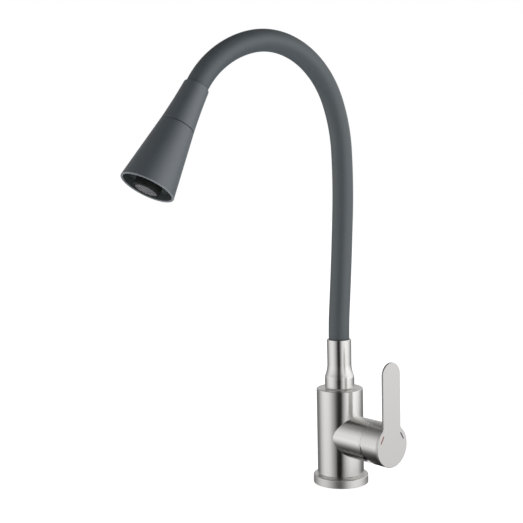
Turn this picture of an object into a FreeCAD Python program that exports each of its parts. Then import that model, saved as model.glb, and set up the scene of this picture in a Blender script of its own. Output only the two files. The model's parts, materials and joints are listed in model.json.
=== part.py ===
import FreeCAD, Part
import math
import os
from FreeCAD import Placement, Rotation, Vector

# Single-lever kitchen mixer tap with a stay-put silicone spout and a two-mode spray head.
#
# Millimetres. The origin is the centre of the face that stands on the deck, +Z is up, the
# spout reaches forward along -Y and the lever stands on the +X side.

# Clearances
FIT = 0.05              # radial gap of a press or screw fit
RUN = 0.08              # radial gap of a running fit
SEAM = 0.4              # visible gap between two pieces that turn against each other
FACE_GAP = 0.1          # gap between faces that slide on each other
CART_PLAY = 0.1         # radial gap round the cartridge
SAME_POINT = 1e-6       # points closer than this are one point

# Deck flange and its seal
FLANGE_D = 53.3
FLANGE_H = 8.0
FLANGE_ROUND = 1.0
SEAT_D = 43.8
SEAT_H = 0.9
DECK_SPIGOT_D = 33.8
SEAL_D = 45.0
SEAL_W = 3.0
SEAL_T = 2.0

# Body tube
BODY_D = 45.0
BODY_WALL = 2.5
BODY_TOP = 92.5
BODY_TOP_WALL = 3.0
BODY_EDGE = 0.8
BODY_FOOT_EDGE = 0.6

# Valve block and its waterways
INLET_BORE_D = 9.0
INLET_THREAD_L = 12.0
INLET_SPACING = 16.0
INLET_X = 5.5
WATERWAY_D = 6.0
STUD_BORE_D = 6.8
STUD_BORE_L = 18.0
STUD_X = -9.5
SOCKET_D = 18.0
SOCKET_FLOOR = 52.0
BLOCK_TOP = 72.0

# Lever side: the axis lies along X at this height
LEVER_Z = 47.5
HOUSING_D = 40.0
HOUSING_WALL = 2.4
HOUSING_END = 44.4
BLOCK_FLOOR_X = 10.0
PIVOT_X = 40.8
LIFT_ANGLE = 22.0

# Ceramic cartridge
CART_D = 34.8
CART_WALL = 1.8
CART_BASE_T = 4.6
CART_FRONT_X = 40.0
CART_FRONT_T = 2.5
CART_MOUTH_D = 22.4
DISC_T = 2.9
FIXED_DISC_D = 27.0
MOVING_DISC_D = 21.0
CARRIER_D = 22.0
CARRIER_T = 4.3
ROTOR_PLATE_T = 5.0
ROTOR_NECK_D = 21.6
ROTOR_FRONT_X = 46.0
PORT_SIDE = 6.5
PORT_LOW = 5.5
PORT_HIGH = 8.0
PORT_D = 5.2
PORT_SEAL_D = 8.6
PORT_SEAL_T = 1.3
PORT_SEAL_PROUD = 0.35

# Spindle
SPINDLE_W = 8.0
SPINDLE_FRONT = 20.0
SPINDLE_BACK = 8.0
DRIVER_REACH = 13.0
DRIVER_D = 5.2
DRIVER_STEM_D = 4.2
PIN_D = 2.5
PIN_L = 19.0

# Cartridge nut and chrome cover ring
NUT_NECK_D = 26.3
NUT_NECK_END = 48.0
NUT_BORE_D = 24.0
COVER_D = 39.8
COVER_FLANGE_T = 1.2
COVER_EDGE = 0.4
COVER_BALL_D = 36.4
COVER_END = 49.5

# Lever hub and blade
HUB_D = 40.0
HUB_WALL = 1.4
HUB_FLOOR_T = 3.1
HUB_SEAM = 0.6
HUB_SLANT_SPARE = 0.5
HUB_BOSS_D = 15.0
HUB_BOSS_START = 8.5
LEVER_FACE_X = 68.4
BLADE_T = 2.0
BLADE_W = 23.2
BLADE_TOP = 125.6
BLADE_FILLET = 4.0
BLADE_EDGE = 0.5
GRUB_D = 5.0
GRUB_L = 9.0
GRUB_REACH = 16.5
GRUB_LUG_D = 8.0
GRUB_KEY_W = 2.5
MARK_L = 7.8
MARK_W = 1.2
MARK_T = 0.35
MARK_RADIUS = 15.4
MARK_ANGLE = 31.0

# Spout swivel
SPIGOT_BORE_D = 11.0
SPIGOT_BOTTOM = 59.5
O_RING_D = 1.6
O_RING_HEIGHTS = (63.5, 68.0)
CLIP_T = 1.1
CLIP_D = 23.0
CLIP_GROOVE_DEPTH = 1.0
BUSH_D = 24.6
BUSH_L = 6.0
BUSH_FLANGE_D = 27.8
BUSH_FLANGE_T = 0.6
SPIGOT_FLANGE_T = 3.0
NIPPLE_D = 15.0
NIPPLE_L = 7.8

# Steel spout sleeve
SLEEVE_FOOT_D = 28.6
SLEEVE_TOP_D = 23.6
SLEEVE_WAIST_D = 23.4
SLEEVE_WALL = 1.3
SLEEVE_FOOT_H = 9.2
SLEEVE_FLARE_H = 14.0
SLEEVE_RISE = 47.8
SLEEVE_LIP = 0.7
SLEEVE_CONVEX = 8.0

# Flexible neck: each run is a length and the angle that it turns forward
NECK_RUNS = ((30.0, -4.7), (92.0, 1.8), (60.0, 6.4), (48.0, 19.9), (116.0, 79.3), (48.0, 25.7), (30.8, 19.9))
NECK_D = 20.0
NECK_WALL = 1.6
NECK_TUCK = 6.0
LINK_COUNT = 36
LINKS_PER_GROUP = 4
LINK_D = 15.8
LINK_BORE_D = 8.6
BALL_D = 13.2
BALL_GAP = 0.1
BALL_RIM = 0.6
SOCKET_LIP = 2.2
BALL_NECK = 4.2
LINK_SHOULDER = 4.7
HOSE_D = 7.4
HOSE_WALL = 1.15
BARB_L = 12.0
BARB_BORE_D = 3.6
FERRULE_WALL = 1.1
FERRULE_L = 10.0
FERRULE_INSET = 1.0
FITTING_BORE_D = 10.8
BASE_NUT_D = 19.6
BASE_NUT_L = 11.4
BASE_STUB_L = 16.0

# Spray head, measured along its axis from the collar's top
COLLAR_D = 22.8
SEAM_D = 30.4
SEAM_AT = 40.0
MOUTH_D = 47.8
HEAD_L = 99.5
COLLAR_EDGE = 0.8
COLLAR_FLARE_SLOPE = 0.058
COLLAR_STOP = 2.5
CONE_WALL = 2.0
MOUTH_EDGE = 0.8
HEAD_NUT_D = 16.6
HEAD_NUT_END = 24.0
HEAD_THREAD_D = 15.0
HEAD_THREAD_END = 32.0
TAIL_FLANGE_T = 1.4
WASHER_T = 0.9
CORE_D = 20.4
CORE_FLANGE_D = 25.8
CORE_FLANGE_T = 1.4
CORE_NOSE_D = 16.0
CORE_NOSE_END = 80.0
CORE_BORE_D = 8.0
CONE_WEB_L = 11.0
HEAD_CLIP_D = 24.0
ROTOR_START = 66.0
ROTOR_DISC_START = 82.0
ROTOR_FACE = 90.0
ROTOR_SLEEVE_D = 21.2
CORE_O_RINGS = (70.0, 75.0)
SPRAY_PLATE_T = 2.9
SPRAY_HOLE_D = 1.2
SPRAY_HOLES = (24, 20)
SPRAY_RIM = 1.9
SPRAY_RING_STEP = 2.8
FEED_HOLES = 6
FEED_HOLE_D = 3.0
FEED_RIM = 3.9
AERATOR_THREAD_D = 22.0
AERATOR_D = 23.4
AERATOR_END = 102.0
AERATOR_LIP_D = 19.4
AERATOR_LIP_T = 0.6
AERATOR_EDGE = 0.4
AERATOR_START = 85.6
INSERT_D = 20.6
INSERT_T = 2.4
CELL_W = 1.9
CELL_PITCH = 2.4
SCREEN_T = 0.5
SCREEN_GAP = 0.5
SCREEN_HOLE_D = 1.0
SCREEN_PITCH = 2.2
AERATOR_SEAL_T = 1.4
AERATOR_SEAL_W = 2.1


def at(point):
    """A (radius, height) pair as a point of the XZ plane."""
    return Vector(point[0], 0, point[1])


def closed_edges(start, *steps):
    """Edges from start through the steps and back; a step of two pairs is an arc through the first."""
    edges = []
    here = start
    for step in steps + (start,):
        arc = isinstance(step[0], tuple)
        end = step[1] if arc else step
        if arc:
            edges.append(Part.Arc(at(here), at(step[0]), at(end)).toShape())
        elif at(here).distanceToPoint(at(end)) > SAME_POINT:
            edges.append(Part.LineSegment(at(here), at(end)).toShape())
        here = end
    return edges


def lathe(start, *steps):
    """Solid turned about Z from an outline of (radius, height) points."""
    face = Part.Face(Part.Wire(closed_edges(start, *steps)))
    return face.revolve(Vector(0, 0, 0), Vector(0, 0, 1), 360)


def disc(diameter, low, high):
    return Part.makeCylinder(diameter / 2, high - low, Vector(0, 0, low))


def tube(outer_d, inner_d, low, high):
    return disc(outer_d, low, high).cut(disc(inner_d, low, high))


def moved(shape, placement):
    copy = shape.copy()
    copy.Placement = placement.multiply(copy.Placement)
    return copy


def on_lever_axis(shape):
    """Lays a piece that was turned about Z on the lever axis, its heights becoming X."""
    return moved(shape, Placement(Vector(0, 0, LEVER_Z), Rotation(Vector(0, 1, 0), 90)))


def arc_middle(centre, radius, first, last):
    """Point half way along the arc about centre between two of its points."""
    x = (first[0] + last[0]) / 2 - centre[0]
    z = (first[1] + last[1]) / 2 - centre[1]
    scale = radius / math.hypot(x, z)
    return (centre[0] + x * scale, centre[1] + z * scale)


def ring_of(shape, count, radius):
    """Copies of a piece at even steps round the Z axis."""
    step = 360 / count
    return [moved(shape, Placement(Vector(0, 0, 0), Rotation(Vector(0, 0, 1), i * step)).multiply(
        Placement(Vector(radius, 0, 0), Rotation()))) for i in range(count)]


# The neck's route

SLEEVE_TOP = BODY_TOP + SLEEVE_RISE


def neck_frame(distance):
    """Point and forward lean in degrees at a distance along the neck from the steel sleeve's top.

    The neck runs straight before its first run and after its last one.
    """
    forward, height, lean = 0.0, SLEEVE_TOP, 0.0
    left = distance
    if left > 0:
        for length, turn in NECK_RUNS:
            used = min(left, length)
            bend = math.radians(turn)
            radius = length / bend
            end = lean + bend * used / length
            forward += radius * (math.cos(lean) - math.cos(end))
            height += radius * (math.sin(end) - math.sin(lean))
            lean = end
            left -= used
            if left <= 0:
                break
    forward += left * math.sin(lean)
    height += left * math.cos(lean)
    return Vector(0, -forward, height), math.degrees(lean)


def neck_placement(distance):
    """Placement that stands a piece turned about Z on the neck's line."""
    point, lean = neck_frame(distance)
    return Placement(point, Rotation(Vector(1, 0, 0), lean))


NECK_L = sum(length for length, turn in NECK_RUNS)
LINK_PITCH = NECK_L / LINK_COUNT
NECK_JOINTS = LINK_COUNT // LINKS_PER_GROUP


def on_head_axis(shape):
    return moved(shape, neck_placement(NECK_L))


def neck_tube(outer_d, inner_d, start, end):
    """Hollow tube along the neck from one distance to another."""
    outer, inner = [Part.Face(Part.Wire(Part.makeCircle(size / 2))) for size in (outer_d, inner_d)]
    ring = outer.cut(inner).Faces[0]
    pieces = [moved(ring, neck_placement(start)).extrude(
        neck_placement(start).Rotation.multVec(Vector(0, 0, -start)))]
    here = 0.0
    for length, turn in NECK_RUNS:
        placement = neck_placement(here)
        centre = placement.multVec(Vector(0, -length / math.radians(turn), 0))
        pieces.append(moved(ring, placement).revolve(centre, Vector(1, 0, 0), turn))
        here += length
    last = neck_placement(here)
    pieces.append(moved(ring, last).extrude(last.Rotation.multVec(Vector(0, 0, end - here))))
    return pieces[0].fuse(pieces[1:]).removeSplitter()


# Deck flange, body and valve block

def deck_flange():
    foot = FLANGE_D / 2
    seat_top = FLANGE_H + SEAT_H
    ring = lathe(
        (DECK_SPIGOT_D / 2 + FIT, 0), (foot, 0), (foot, FLANGE_H - FLANGE_ROUND),
        (arc_middle((foot - FLANGE_ROUND, FLANGE_H - FLANGE_ROUND), FLANGE_ROUND,
                    (foot, FLANGE_H - FLANGE_ROUND), (foot - FLANGE_ROUND, FLANGE_H)),
         (foot - FLANGE_ROUND, FLANGE_H)),
        (SEAT_D / 2, FLANGE_H), (SEAT_D / 2, seat_top), (DECK_SPIGOT_D / 2 + FIT, seat_top))
    return ring.cut(tube(SEAL_D + SEAL_W, SEAL_D - SEAL_W, 0, SEAL_T))


def deck_seal():
    return tube(SEAL_D + SEAL_W - 2 * FIT, SEAL_D - SEAL_W + 2 * FIT, 0, SEAL_T)


def body_shell():
    radius = BODY_D / 2
    foot = FLANGE_H + SEAT_H
    inner = radius - BODY_WALL
    mouth = BUSH_D / 2 + FIT
    shell = lathe(
        (inner, foot), (radius - BODY_FOOT_EDGE, foot), (radius, foot + BODY_FOOT_EDGE),
        (radius, BODY_TOP - BODY_EDGE),
        (arc_middle((radius - BODY_EDGE, BODY_TOP - BODY_EDGE), BODY_EDGE,
                    (radius, BODY_TOP - BODY_EDGE), (radius - BODY_EDGE, BODY_TOP)),
         (radius - BODY_EDGE, BODY_TOP)),
        (mouth, BODY_TOP), (mouth, BODY_TOP - BODY_TOP_WALL), (inner, BODY_TOP - BODY_TOP_WALL))
    return shell.cut(on_lever_axis(disc(CART_D + 2 * CART_PLAY, 0, BODY_D)))


def side_housing():
    """Side tube with a saddle end that follows the body."""
    housing = on_lever_axis(tube(HOUSING_D, HOUSING_D - 2 * HOUSING_WALL, 0, HOUSING_END))
    return housing.cut(disc(BODY_D + 2 * FIT, 0, BODY_TOP))


def valve_block():
    foot = FLANGE_H + SEAT_H
    block = disc(BODY_D - 2 * BODY_WALL - 2 * FIT, foot, BLOCK_TOP)
    block = block.fuse(disc(DECK_SPIGOT_D, 0, foot))
    way = WATERWAY_D / 2
    feed_z = LEVER_Z - PORT_LOW
    cuts = [
        on_lever_axis(disc(CART_D + 2 * CART_PLAY, BLOCK_FLOOR_X, BODY_D)),
        disc(SOCKET_D + 2 * RUN, SOCKET_FLOOR, BLOCK_TOP),
        Part.makeCylinder(STUD_BORE_D / 2, STUD_BORE_L, Vector(STUD_X, 0, 0)),
        Part.makeCylinder(PORT_D / 2, BLOCK_FLOOR_X, Vector(0, 0, LEVER_Z + PORT_HIGH), Vector(1, 0, 0)),
    ]
    for side in (-1, 1):
        inlet = Vector(INLET_X, side * INLET_SPACING / 2, 0)
        cuts.append(Part.makeCylinder(INLET_BORE_D / 2, INLET_THREAD_L, inlet))
        cuts.append(Part.makeCylinder(way, feed_z, inlet))
        cuts.append(Part.makeCylinder(PORT_D / 2, BLOCK_FLOOR_X - INLET_X,
                                      Vector(INLET_X, side * PORT_SIDE, feed_z), Vector(1, 0, 0)))
    return block.cut(cuts)


# Cartridge

CART_START = BLOCK_FLOOR_X + PORT_SEAL_PROUD
CART_BASE_END = CART_START + CART_BASE_T
FIXED_DISC_X = CART_BASE_END + FIT
MOVING_DISC_X = FIXED_DISC_X + DISC_T + FACE_GAP
CARRIER_X = MOVING_DISC_X + DISC_T + FIT
CARRIER_END = CARRIER_X + CARRIER_T
ROTOR_BACK = CARRIER_END + SEAM
REST_TILT = LIFT_ANGLE / 2
SLIDE_HALF = DRIVER_REACH * math.sin(math.radians(REST_TILT))
SLOT_HALF = SPINDLE_W / 2 / math.cos(math.radians(REST_TILT)) + \
    (PIVOT_X - ROTOR_BACK) * math.tan(math.radians(REST_TILT)) + SEAM


def port_places():
    """Centres of the two inlet ports and the outlet port about the lever axis, as (Y, Z) offsets."""
    return ((-PORT_SIDE, -PORT_LOW), (PORT_SIDE, -PORT_LOW), (0, PORT_HIGH))


def port_cylinders(diameter, start, length):
    return [Part.makeCylinder(diameter / 2, length, Vector(start, y, LEVER_Z + z), Vector(1, 0, 0))
            for y, z in port_places()]


def cartridge_base():
    base = on_lever_axis(disc(CART_D, CART_START, CART_BASE_END))
    pockets = port_cylinders(PORT_SEAL_D + 2 * FIT, CART_START, PORT_SEAL_T - PORT_SEAL_PROUD + FIT)
    return base.cut(port_cylinders(PORT_D, CART_START, CART_BASE_T) + pockets)


def port_seals():
    rings = port_cylinders(PORT_SEAL_D, BLOCK_FLOOR_X, PORT_SEAL_T)
    holes = port_cylinders(PORT_D, BLOCK_FLOOR_X, PORT_SEAL_T)
    return [ring.cut(hole) for ring, hole in zip(rings, holes)]


def fixed_disc():
    plate = on_lever_axis(disc(FIXED_DISC_D, FIXED_DISC_X, FIXED_DISC_X + DISC_T))
    return plate.cut(port_cylinders(PORT_D, FIXED_DISC_X, DISC_T))


def moving_disc():
    """Upper disc, which lies low while the tap is shut; its pocket joins inlets and outlet."""
    plate = on_lever_axis(disc(MOVING_DISC_D, MOVING_DISC_X, MOVING_DISC_X + DISC_T))
    pocket = on_lever_axis(disc(MOVING_DISC_D / 2, MOVING_DISC_X, MOVING_DISC_X + DISC_T / 2))
    return moved(plate.cut(pocket), Placement(Vector(0, 0, -SLIDE_HALF), Rotation()))


def disc_carrier():
    plate = on_lever_axis(disc(CARRIER_D, CARRIER_X, CARRIER_END))
    socket_x = PIVOT_X - DRIVER_REACH - DRIVER_D / 2 - SEAM
    socket = on_lever_axis(disc(DRIVER_D + 2 * SEAM, socket_x, CARRIER_END))
    return moved(plate.cut(socket), Placement(Vector(0, 0, -SLIDE_HALF), Rotation()))


def cartridge_shell():
    bore = CART_D - 2 * CART_WALL
    return on_lever_axis(lathe(
        (bore / 2, CART_BASE_END), (CART_D / 2, CART_BASE_END), (CART_D / 2, CART_FRONT_X),
        (CART_MOUTH_D / 2, CART_FRONT_X), (CART_MOUTH_D / 2, CART_FRONT_X - CART_FRONT_T),
        (bore / 2, CART_FRONT_X - CART_FRONT_T)))


def cartridge_rotor():
    """Turning part of the cartridge; its slot lets the spindle rock on the pin."""
    plate_d = CART_D - 2 * CART_WALL - 2 * SEAM
    rotor = disc(plate_d, ROTOR_BACK, ROTOR_BACK + ROTOR_PLATE_T).fuse(
        disc(ROTOR_NECK_D, ROTOR_BACK, ROTOR_FRONT_X))
    width = SPINDLE_W + 2 * SEAM
    slot = Part.makeBox(2 * SLOT_HALF, width, ROTOR_FRONT_X - ROTOR_BACK,
                        Vector(-SLOT_HALF, -width / 2, ROTOR_BACK))
    return on_lever_axis(rotor.cut(slot)).cut(pivot_pin(FIT))


def pivot_pin(grow=0.0):
    length = PIN_L + 2 * grow
    return Part.makeCylinder(PIN_D / 2 + grow, length, Vector(PIVOT_X, -length / 2, LEVER_Z), Vector(0, 1, 0))


def on_spindle_axis(shape):
    """Puts a piece built along Z from the pivot on the spindle, which tilts up while the tap is shut."""
    return moved(shape, Placement(Vector(PIVOT_X, 0, LEVER_Z), Rotation(Vector(0, 1, 0), 90 - REST_TILT)))


def square_bar(width, low, high):
    return Part.makeBox(width, width, high - low, Vector(-width / 2, -width / 2, low))


def spindle():
    bar = square_bar(SPINDLE_W, -SPINDLE_BACK, SPINDLE_FRONT)
    stem = disc(DRIVER_STEM_D, -DRIVER_REACH, -SPINDLE_BACK)
    ball = Part.makeSphere(DRIVER_D / 2, Vector(0, 0, -DRIVER_REACH))
    return on_spindle_axis(bar.fuse([stem, ball])).cut(pivot_pin(RUN))


def cartridge_nut():
    neck_start = HOUSING_END - FACE_GAP
    bore = NUT_BORE_D / 2
    outer = HOUSING_D / 2 - HOUSING_WALL - FIT
    return on_lever_axis(lathe(
        (bore, CART_FRONT_X), (outer, CART_FRONT_X), (outer, neck_start),
        (NUT_NECK_D / 2, neck_start), (NUT_NECK_D / 2, NUT_NECK_END), (bore, NUT_NECK_END)))


def cover_ring():
    """Polished ring over the nut: a flange flush with the housing and a ball zone inside the hub."""
    ball = COVER_BALL_D / 2
    flange_end = HOUSING_END + COVER_FLANGE_T
    bore = NUT_NECK_D / 2 + FIT
    edge = COVER_EDGE
    low = (math.sqrt(ball ** 2 - (flange_end - PIVOT_X) ** 2), flange_end)
    high = (math.sqrt(ball ** 2 - (COVER_END - PIVOT_X) ** 2), COVER_END)
    return on_lever_axis(lathe(
        (bore, HOUSING_END), (COVER_D / 2, HOUSING_END), (COVER_D / 2, flange_end - edge),
        (COVER_D / 2 - edge, flange_end), low,
        (arc_middle((0, PIVOT_X), ball, low, high), high), (bore, COVER_END)))


# Lever

HUB_REAR = HOUSING_END + COVER_FLANGE_T + HUB_SEAM
HUB_FRONT = LEVER_FACE_X - BLADE_T
HUB_FLOOR = HUB_FRONT - HUB_FLOOR_T


def hub_slant_cut():
    """Block that trims the hub's lower rear, so that the lever can rock back to full flow."""
    size = 2 * HUB_D
    block = Part.makeBox(size, size, size, Vector(-size, -size / 2, -size))
    slant = LIFT_ANGLE + HUB_SLANT_SPARE
    return moved(block, Placement(Vector(HUB_REAR, 0, LEVER_Z), Rotation(Vector(0, 1, 0), -slant)))


def grub_axis(shape):
    """Puts a piece built along Z on the grub screw's line, from the spindle to the hub's foot."""
    side = Placement(Vector(0, 0, GRUB_REACH), Rotation(Vector(0, 1, 0), 90))
    return on_spindle_axis(moved(shape, side))


def lever_hub():
    cup = disc(HUB_D, HUB_REAR, HUB_FRONT).cut(disc(HUB_D - 2 * HUB_WALL, HUB_REAR, HUB_FLOOR))
    cup = on_lever_axis(cup).cut(hub_slant_cut())
    inside = on_lever_axis(disc(HUB_D - HUB_WALL, HUB_REAR, HUB_FRONT - HUB_FLOOR_T / 2))
    boss = on_spindle_axis(disc(HUB_BOSS_D, HUB_BOSS_START, HUB_FRONT - PIVOT_X + HUB_BOSS_D))
    lug = grub_axis(disc(GRUB_LUG_D, 0, HUB_D))
    hub = cup.fuse([boss.common(inside), lug.common(inside)])
    socket = on_spindle_axis(square_bar(SPINDLE_W + 2 * FIT, 0, SPINDLE_FRONT + SEAM))
    return hub.cut([socket, grub_axis(disc(GRUB_D + 2 * FIT, 0, HUB_D))])


def lever_grub_screw():
    start = SPINDLE_W / 2 + FIT
    screw = disc(GRUB_D, start, start + GRUB_L)
    key = square_bar(GRUB_KEY_W, start + GRUB_L - GRUB_KEY_W, start + GRUB_L)
    return grub_axis(screw.cut(key))


def blade_outline():
    """Wire of the lever's face plate in the plane X = 0: a disc with a round-ended blade standing on it."""
    disc_r = HUB_D / 2
    half = BLADE_W / 2
    fillet = BLADE_FILLET
    fillet_z = math.sqrt((disc_r + fillet) ** 2 - (half + fillet) ** 2)
    share = disc_r / (disc_r + fillet)
    neck = (half, fillet_z)
    foot = ((half + fillet) * share, fillet_z * share)
    inner = arc_middle((half + fillet, fillet_z), fillet, neck, foot)
    round_z = BLADE_TOP - LEVER_Z - half
    right = (half, round_z)

    def point(pair, side=1):
        return Vector(0, side * pair[0], LEVER_Z + pair[1])

    return Part.Wire([
        Part.Arc(point(foot), point((0, -disc_r)), point(foot, -1)).toShape(),
        Part.Arc(point(foot, -1), point(inner, -1), point(neck, -1)).toShape(),
        Part.LineSegment(point(neck, -1), point(right, -1)).toShape(),
        Part.Arc(point(right, -1), point((0, round_z + half)), point(right)).toShape(),
        Part.LineSegment(point(right), point(neck)).toShape(),
        Part.Arc(point(neck), point(inner), point(foot)).toShape()])


def mark_blank(side, grow=0.0):
    """Round-ended bar for a temperature mark, sunk in the plate's front; side -1 is hot and 1 is cold."""
    width = MARK_W + 2 * grow
    straight = MARK_L - MARK_W
    low = -MARK_T - grow
    bar = Part.makeBox(straight, width, -low, Vector(-straight / 2, -width / 2, low))
    ends = [Part.makeCylinder(width / 2, -low, Vector(end * straight / 2, 0, low)) for end in (-1, 1)]
    blank = bar.fuse(ends).removeSplitter()
    angle = 90 - MARK_ANGLE
    place = Placement(Vector(LEVER_FACE_X, 0, LEVER_Z), Rotation(Vector(0, 1, 0), 90))
    turn = Placement(Vector(0, 0, 0), Rotation(Vector(0, 0, 1), 180 - side * angle))
    out = Placement(Vector(MARK_RADIUS, 0, 0), Rotation(Vector(0, 0, 1), 90))
    return moved(blank, place.multiply(turn).multiply(out))


def lever_blade():
    plate = Part.Face(blade_outline()).extrude(Vector(BLADE_T, 0, 0))
    plate = moved(plate, Placement(Vector(HUB_FRONT, 0, 0), Rotation()))
    front = [edge for edge in plate.Edges if edge.BoundBox.XMin > LEVER_FACE_X - FIT]
    plate = plate.makeFillet(BLADE_EDGE, front)
    return plate.cut([mark_blank(side, FIT) for side in (-1, 1)])


def hot_mark():
    return mark_blank(-1)


def cold_mark():
    return mark_blank(1)


# Spout swivel and steel sleeve

BUSH_BOTTOM = BODY_TOP - BUSH_L
CLIP_TOP = BUSH_BOTTOM - SEAM
CLIP_LOW = CLIP_TOP - CLIP_T
SPIGOT_FLANGE = BODY_TOP + BUSH_FLANGE_T + FACE_GAP
SLEEVE_FOOT = SPIGOT_FLANGE + FACE_GAP
SPIGOT_FLANGE_TOP = SPIGOT_FLANGE + SPIGOT_FLANGE_T
NIPPLE_TOP = SPIGOT_FLANGE_TOP + NIPPLE_L
SPIGOT_FLANGE_D = SLEEVE_FOOT_D - 2 * SLEEVE_WALL - 2 * FIT


def o_ring_groove(journal_d, height):
    """Cut for one O-ring in a shaft that turns in its seal."""
    half = O_RING_D / 2 + FIT
    return tube(journal_d + O_RING_D, journal_d - 4 * half, height - half, height + half)


def o_rings(journal_d, heights):
    middle = journal_d / 2 - O_RING_D / 2
    return [Part.makeTorus(middle, O_RING_D / 2, Vector(0, 0, height)) for height in heights]


def clip_groove(shaft_d, low):
    return tube(shaft_d + CLIP_T, shaft_d - 2 * CLIP_GROOVE_DEPTH - 2 * FIT, low - FIT, low + CLIP_T + FIT)


def swivel_spigot():
    """Turned brass spigot that carries the spout; water enters its foot and leaves through the barb."""
    journal = SOCKET_D / 2
    barb = (HOSE_D - 2 * HOSE_WALL) / 2 - FIT
    barb_bore = BARB_BORE_D / 2
    bore = SPIGOT_BORE_D / 2
    barb_top = NIPPLE_TOP + BARB_L
    body = lathe(
        (bore, SPIGOT_BOTTOM), (journal, SPIGOT_BOTTOM), (journal, SPIGOT_FLANGE),
        (SPIGOT_FLANGE_D / 2, SPIGOT_FLANGE), (SPIGOT_FLANGE_D / 2, SPIGOT_FLANGE_TOP),
        (NIPPLE_D / 2, SPIGOT_FLANGE_TOP), (NIPPLE_D / 2, NIPPLE_TOP), (barb, NIPPLE_TOP),
        (barb, barb_top), (barb_bore, barb_top), (barb_bore, SPIGOT_FLANGE_TOP), (bore, SPIGOT_FLANGE))
    cuts = [o_ring_groove(SOCKET_D, height) for height in O_RING_HEIGHTS]
    cuts.append(clip_groove(SOCKET_D, CLIP_LOW))
    return body.cut(cuts)


def swivel_o_rings():
    return o_rings(SOCKET_D, O_RING_HEIGHTS)


def open_clip(outer_d, inner_d, low, high):
    """Snap ring with a gap to spring it over its shaft."""
    gap = inner_d / 2
    return tube(outer_d, inner_d, low, high).cut(
        Part.makeBox(outer_d, gap, high - low, Vector(0, -gap / 2, low)))


def swivel_clip():
    return open_clip(CLIP_D, SOCKET_D - 2 * CLIP_GROOVE_DEPTH, CLIP_LOW, CLIP_TOP)


def swivel_bush():
    bore = SOCKET_D / 2 + RUN
    top = BODY_TOP + BUSH_FLANGE_T
    return lathe(
        (bore, BUSH_BOTTOM), (BUSH_D / 2, BUSH_BOTTOM), (BUSH_D / 2, BODY_TOP),
        (BUSH_FLANGE_D / 2, BODY_TOP), (BUSH_FLANGE_D / 2, top), (bore, top))


def flare(low, high, convex):
    """Two tangent arcs from a vertical line at low to one at high; convex is the lower arc's radius."""
    drop = low[0] - high[0]
    rise = high[1] - low[1]
    concave = (drop ** 2 + rise ** 2) / (2 * drop) - convex
    lower_centre = (low[0] - convex, low[1])
    upper_centre = (high[0] + concave, high[1])
    share = convex / (convex + concave)
    meet = (lower_centre[0] + (upper_centre[0] - lower_centre[0]) * share,
            lower_centre[1] + (upper_centre[1] - lower_centre[1]) * share)
    return ((arc_middle(lower_centre, convex, low, meet), meet),
            (arc_middle(upper_centre, concave, meet, high), high))


def spout_sleeve():
    """Brushed sleeve: a straight foot, a flare and a slim top that the silicone neck enters."""
    foot_end = SLEEVE_FOOT + SLEEVE_FOOT_H
    waist_z = foot_end + SLEEVE_FLARE_H
    foot = SLEEVE_FOOT_D / 2
    waist = SLEEVE_WAIST_D / 2
    top = SLEEVE_TOP_D / 2
    bore = NECK_D / 2 + SEAM
    lip = SLEEVE_LIP
    lower, upper = flare((foot, foot_end), (waist, waist_z), SLEEVE_CONVEX)
    inner_foot = (foot - SLEEVE_WALL, foot_end)
    back_lower, back_upper = flare(inner_foot, (bore, waist_z), SLEEVE_CONVEX - SLEEVE_WALL)
    return lathe(
        (foot - SLEEVE_WALL, SLEEVE_FOOT), (foot, SLEEVE_FOOT), (foot, foot_end), lower, upper,
        (top, SLEEVE_TOP - lip),
        (arc_middle((top - lip, SLEEVE_TOP - lip), lip, (top, SLEEVE_TOP - lip), (top - lip, SLEEVE_TOP)),
         (top - lip, SLEEVE_TOP)),
        (bore, SLEEVE_TOP), (bore, waist_z), (back_upper[0], back_lower[1]), (back_lower[0], inner_foot))


# Gooseneck

SOCKET_R = BALL_D / 2 + BALL_GAP
SOCKET_DEPTH = math.sqrt(SOCKET_R ** 2 - (LINK_BORE_D / 2) ** 2)
LIP_R = math.sqrt(SOCKET_R ** 2 - SOCKET_LIP ** 2)
BALL_END_R = LINK_BORE_D / 2 + BALL_RIM
BALL_END = math.sqrt((BALL_D / 2) ** 2 - BALL_END_R ** 2)
BALL_NECK_R = math.sqrt((BALL_D / 2) ** 2 - BALL_NECK ** 2)
BASE_BALL_Z = SLEEVE_TOP - LINK_PITCH


def socket_steps(centre):
    """Outline of a socket open upward, from the lip's outer edge to the bore below the ball."""
    lip = (LIP_R, centre + SOCKET_LIP)
    floor = (LINK_BORE_D / 2, centre - SOCKET_DEPTH)
    return ((LINK_D / 2, centre + SOCKET_LIP), lip, (arc_middle((0, centre), SOCKET_R, lip, floor), floor))


def ball_steps():
    """Outline of a ball about the origin with its neck and shoulder, from the bore to the link's wall."""
    end = (BALL_END_R, -BALL_END)
    neck = (BALL_NECK_R, BALL_NECK)
    return ((LINK_BORE_D / 2, -BALL_END), end, ((BALL_D / 2, 0), neck), (LINK_D / 2, LINK_SHOULDER))


def neck_link(length):
    """One link: a ball about the origin and a socket at the given length."""
    start, *rest = ball_steps()
    return lathe(start, *rest, *socket_steps(length))


def links_between(first, last):
    """Links from one ball centre's index to another, each on the chord between its two centres."""
    links = []
    for index in range(first, last):
        low = neck_frame(index * LINK_PITCH)[0]
        high = neck_frame((index + 1) * LINK_PITCH)[0]
        chord = high.sub(low)
        lean = math.degrees(math.atan2(-chord.y, chord.z))
        links.append(moved(neck_link(chord.Length), Placement(low, Rotation(Vector(1, 0, 0), lean))))
    return links


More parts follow.
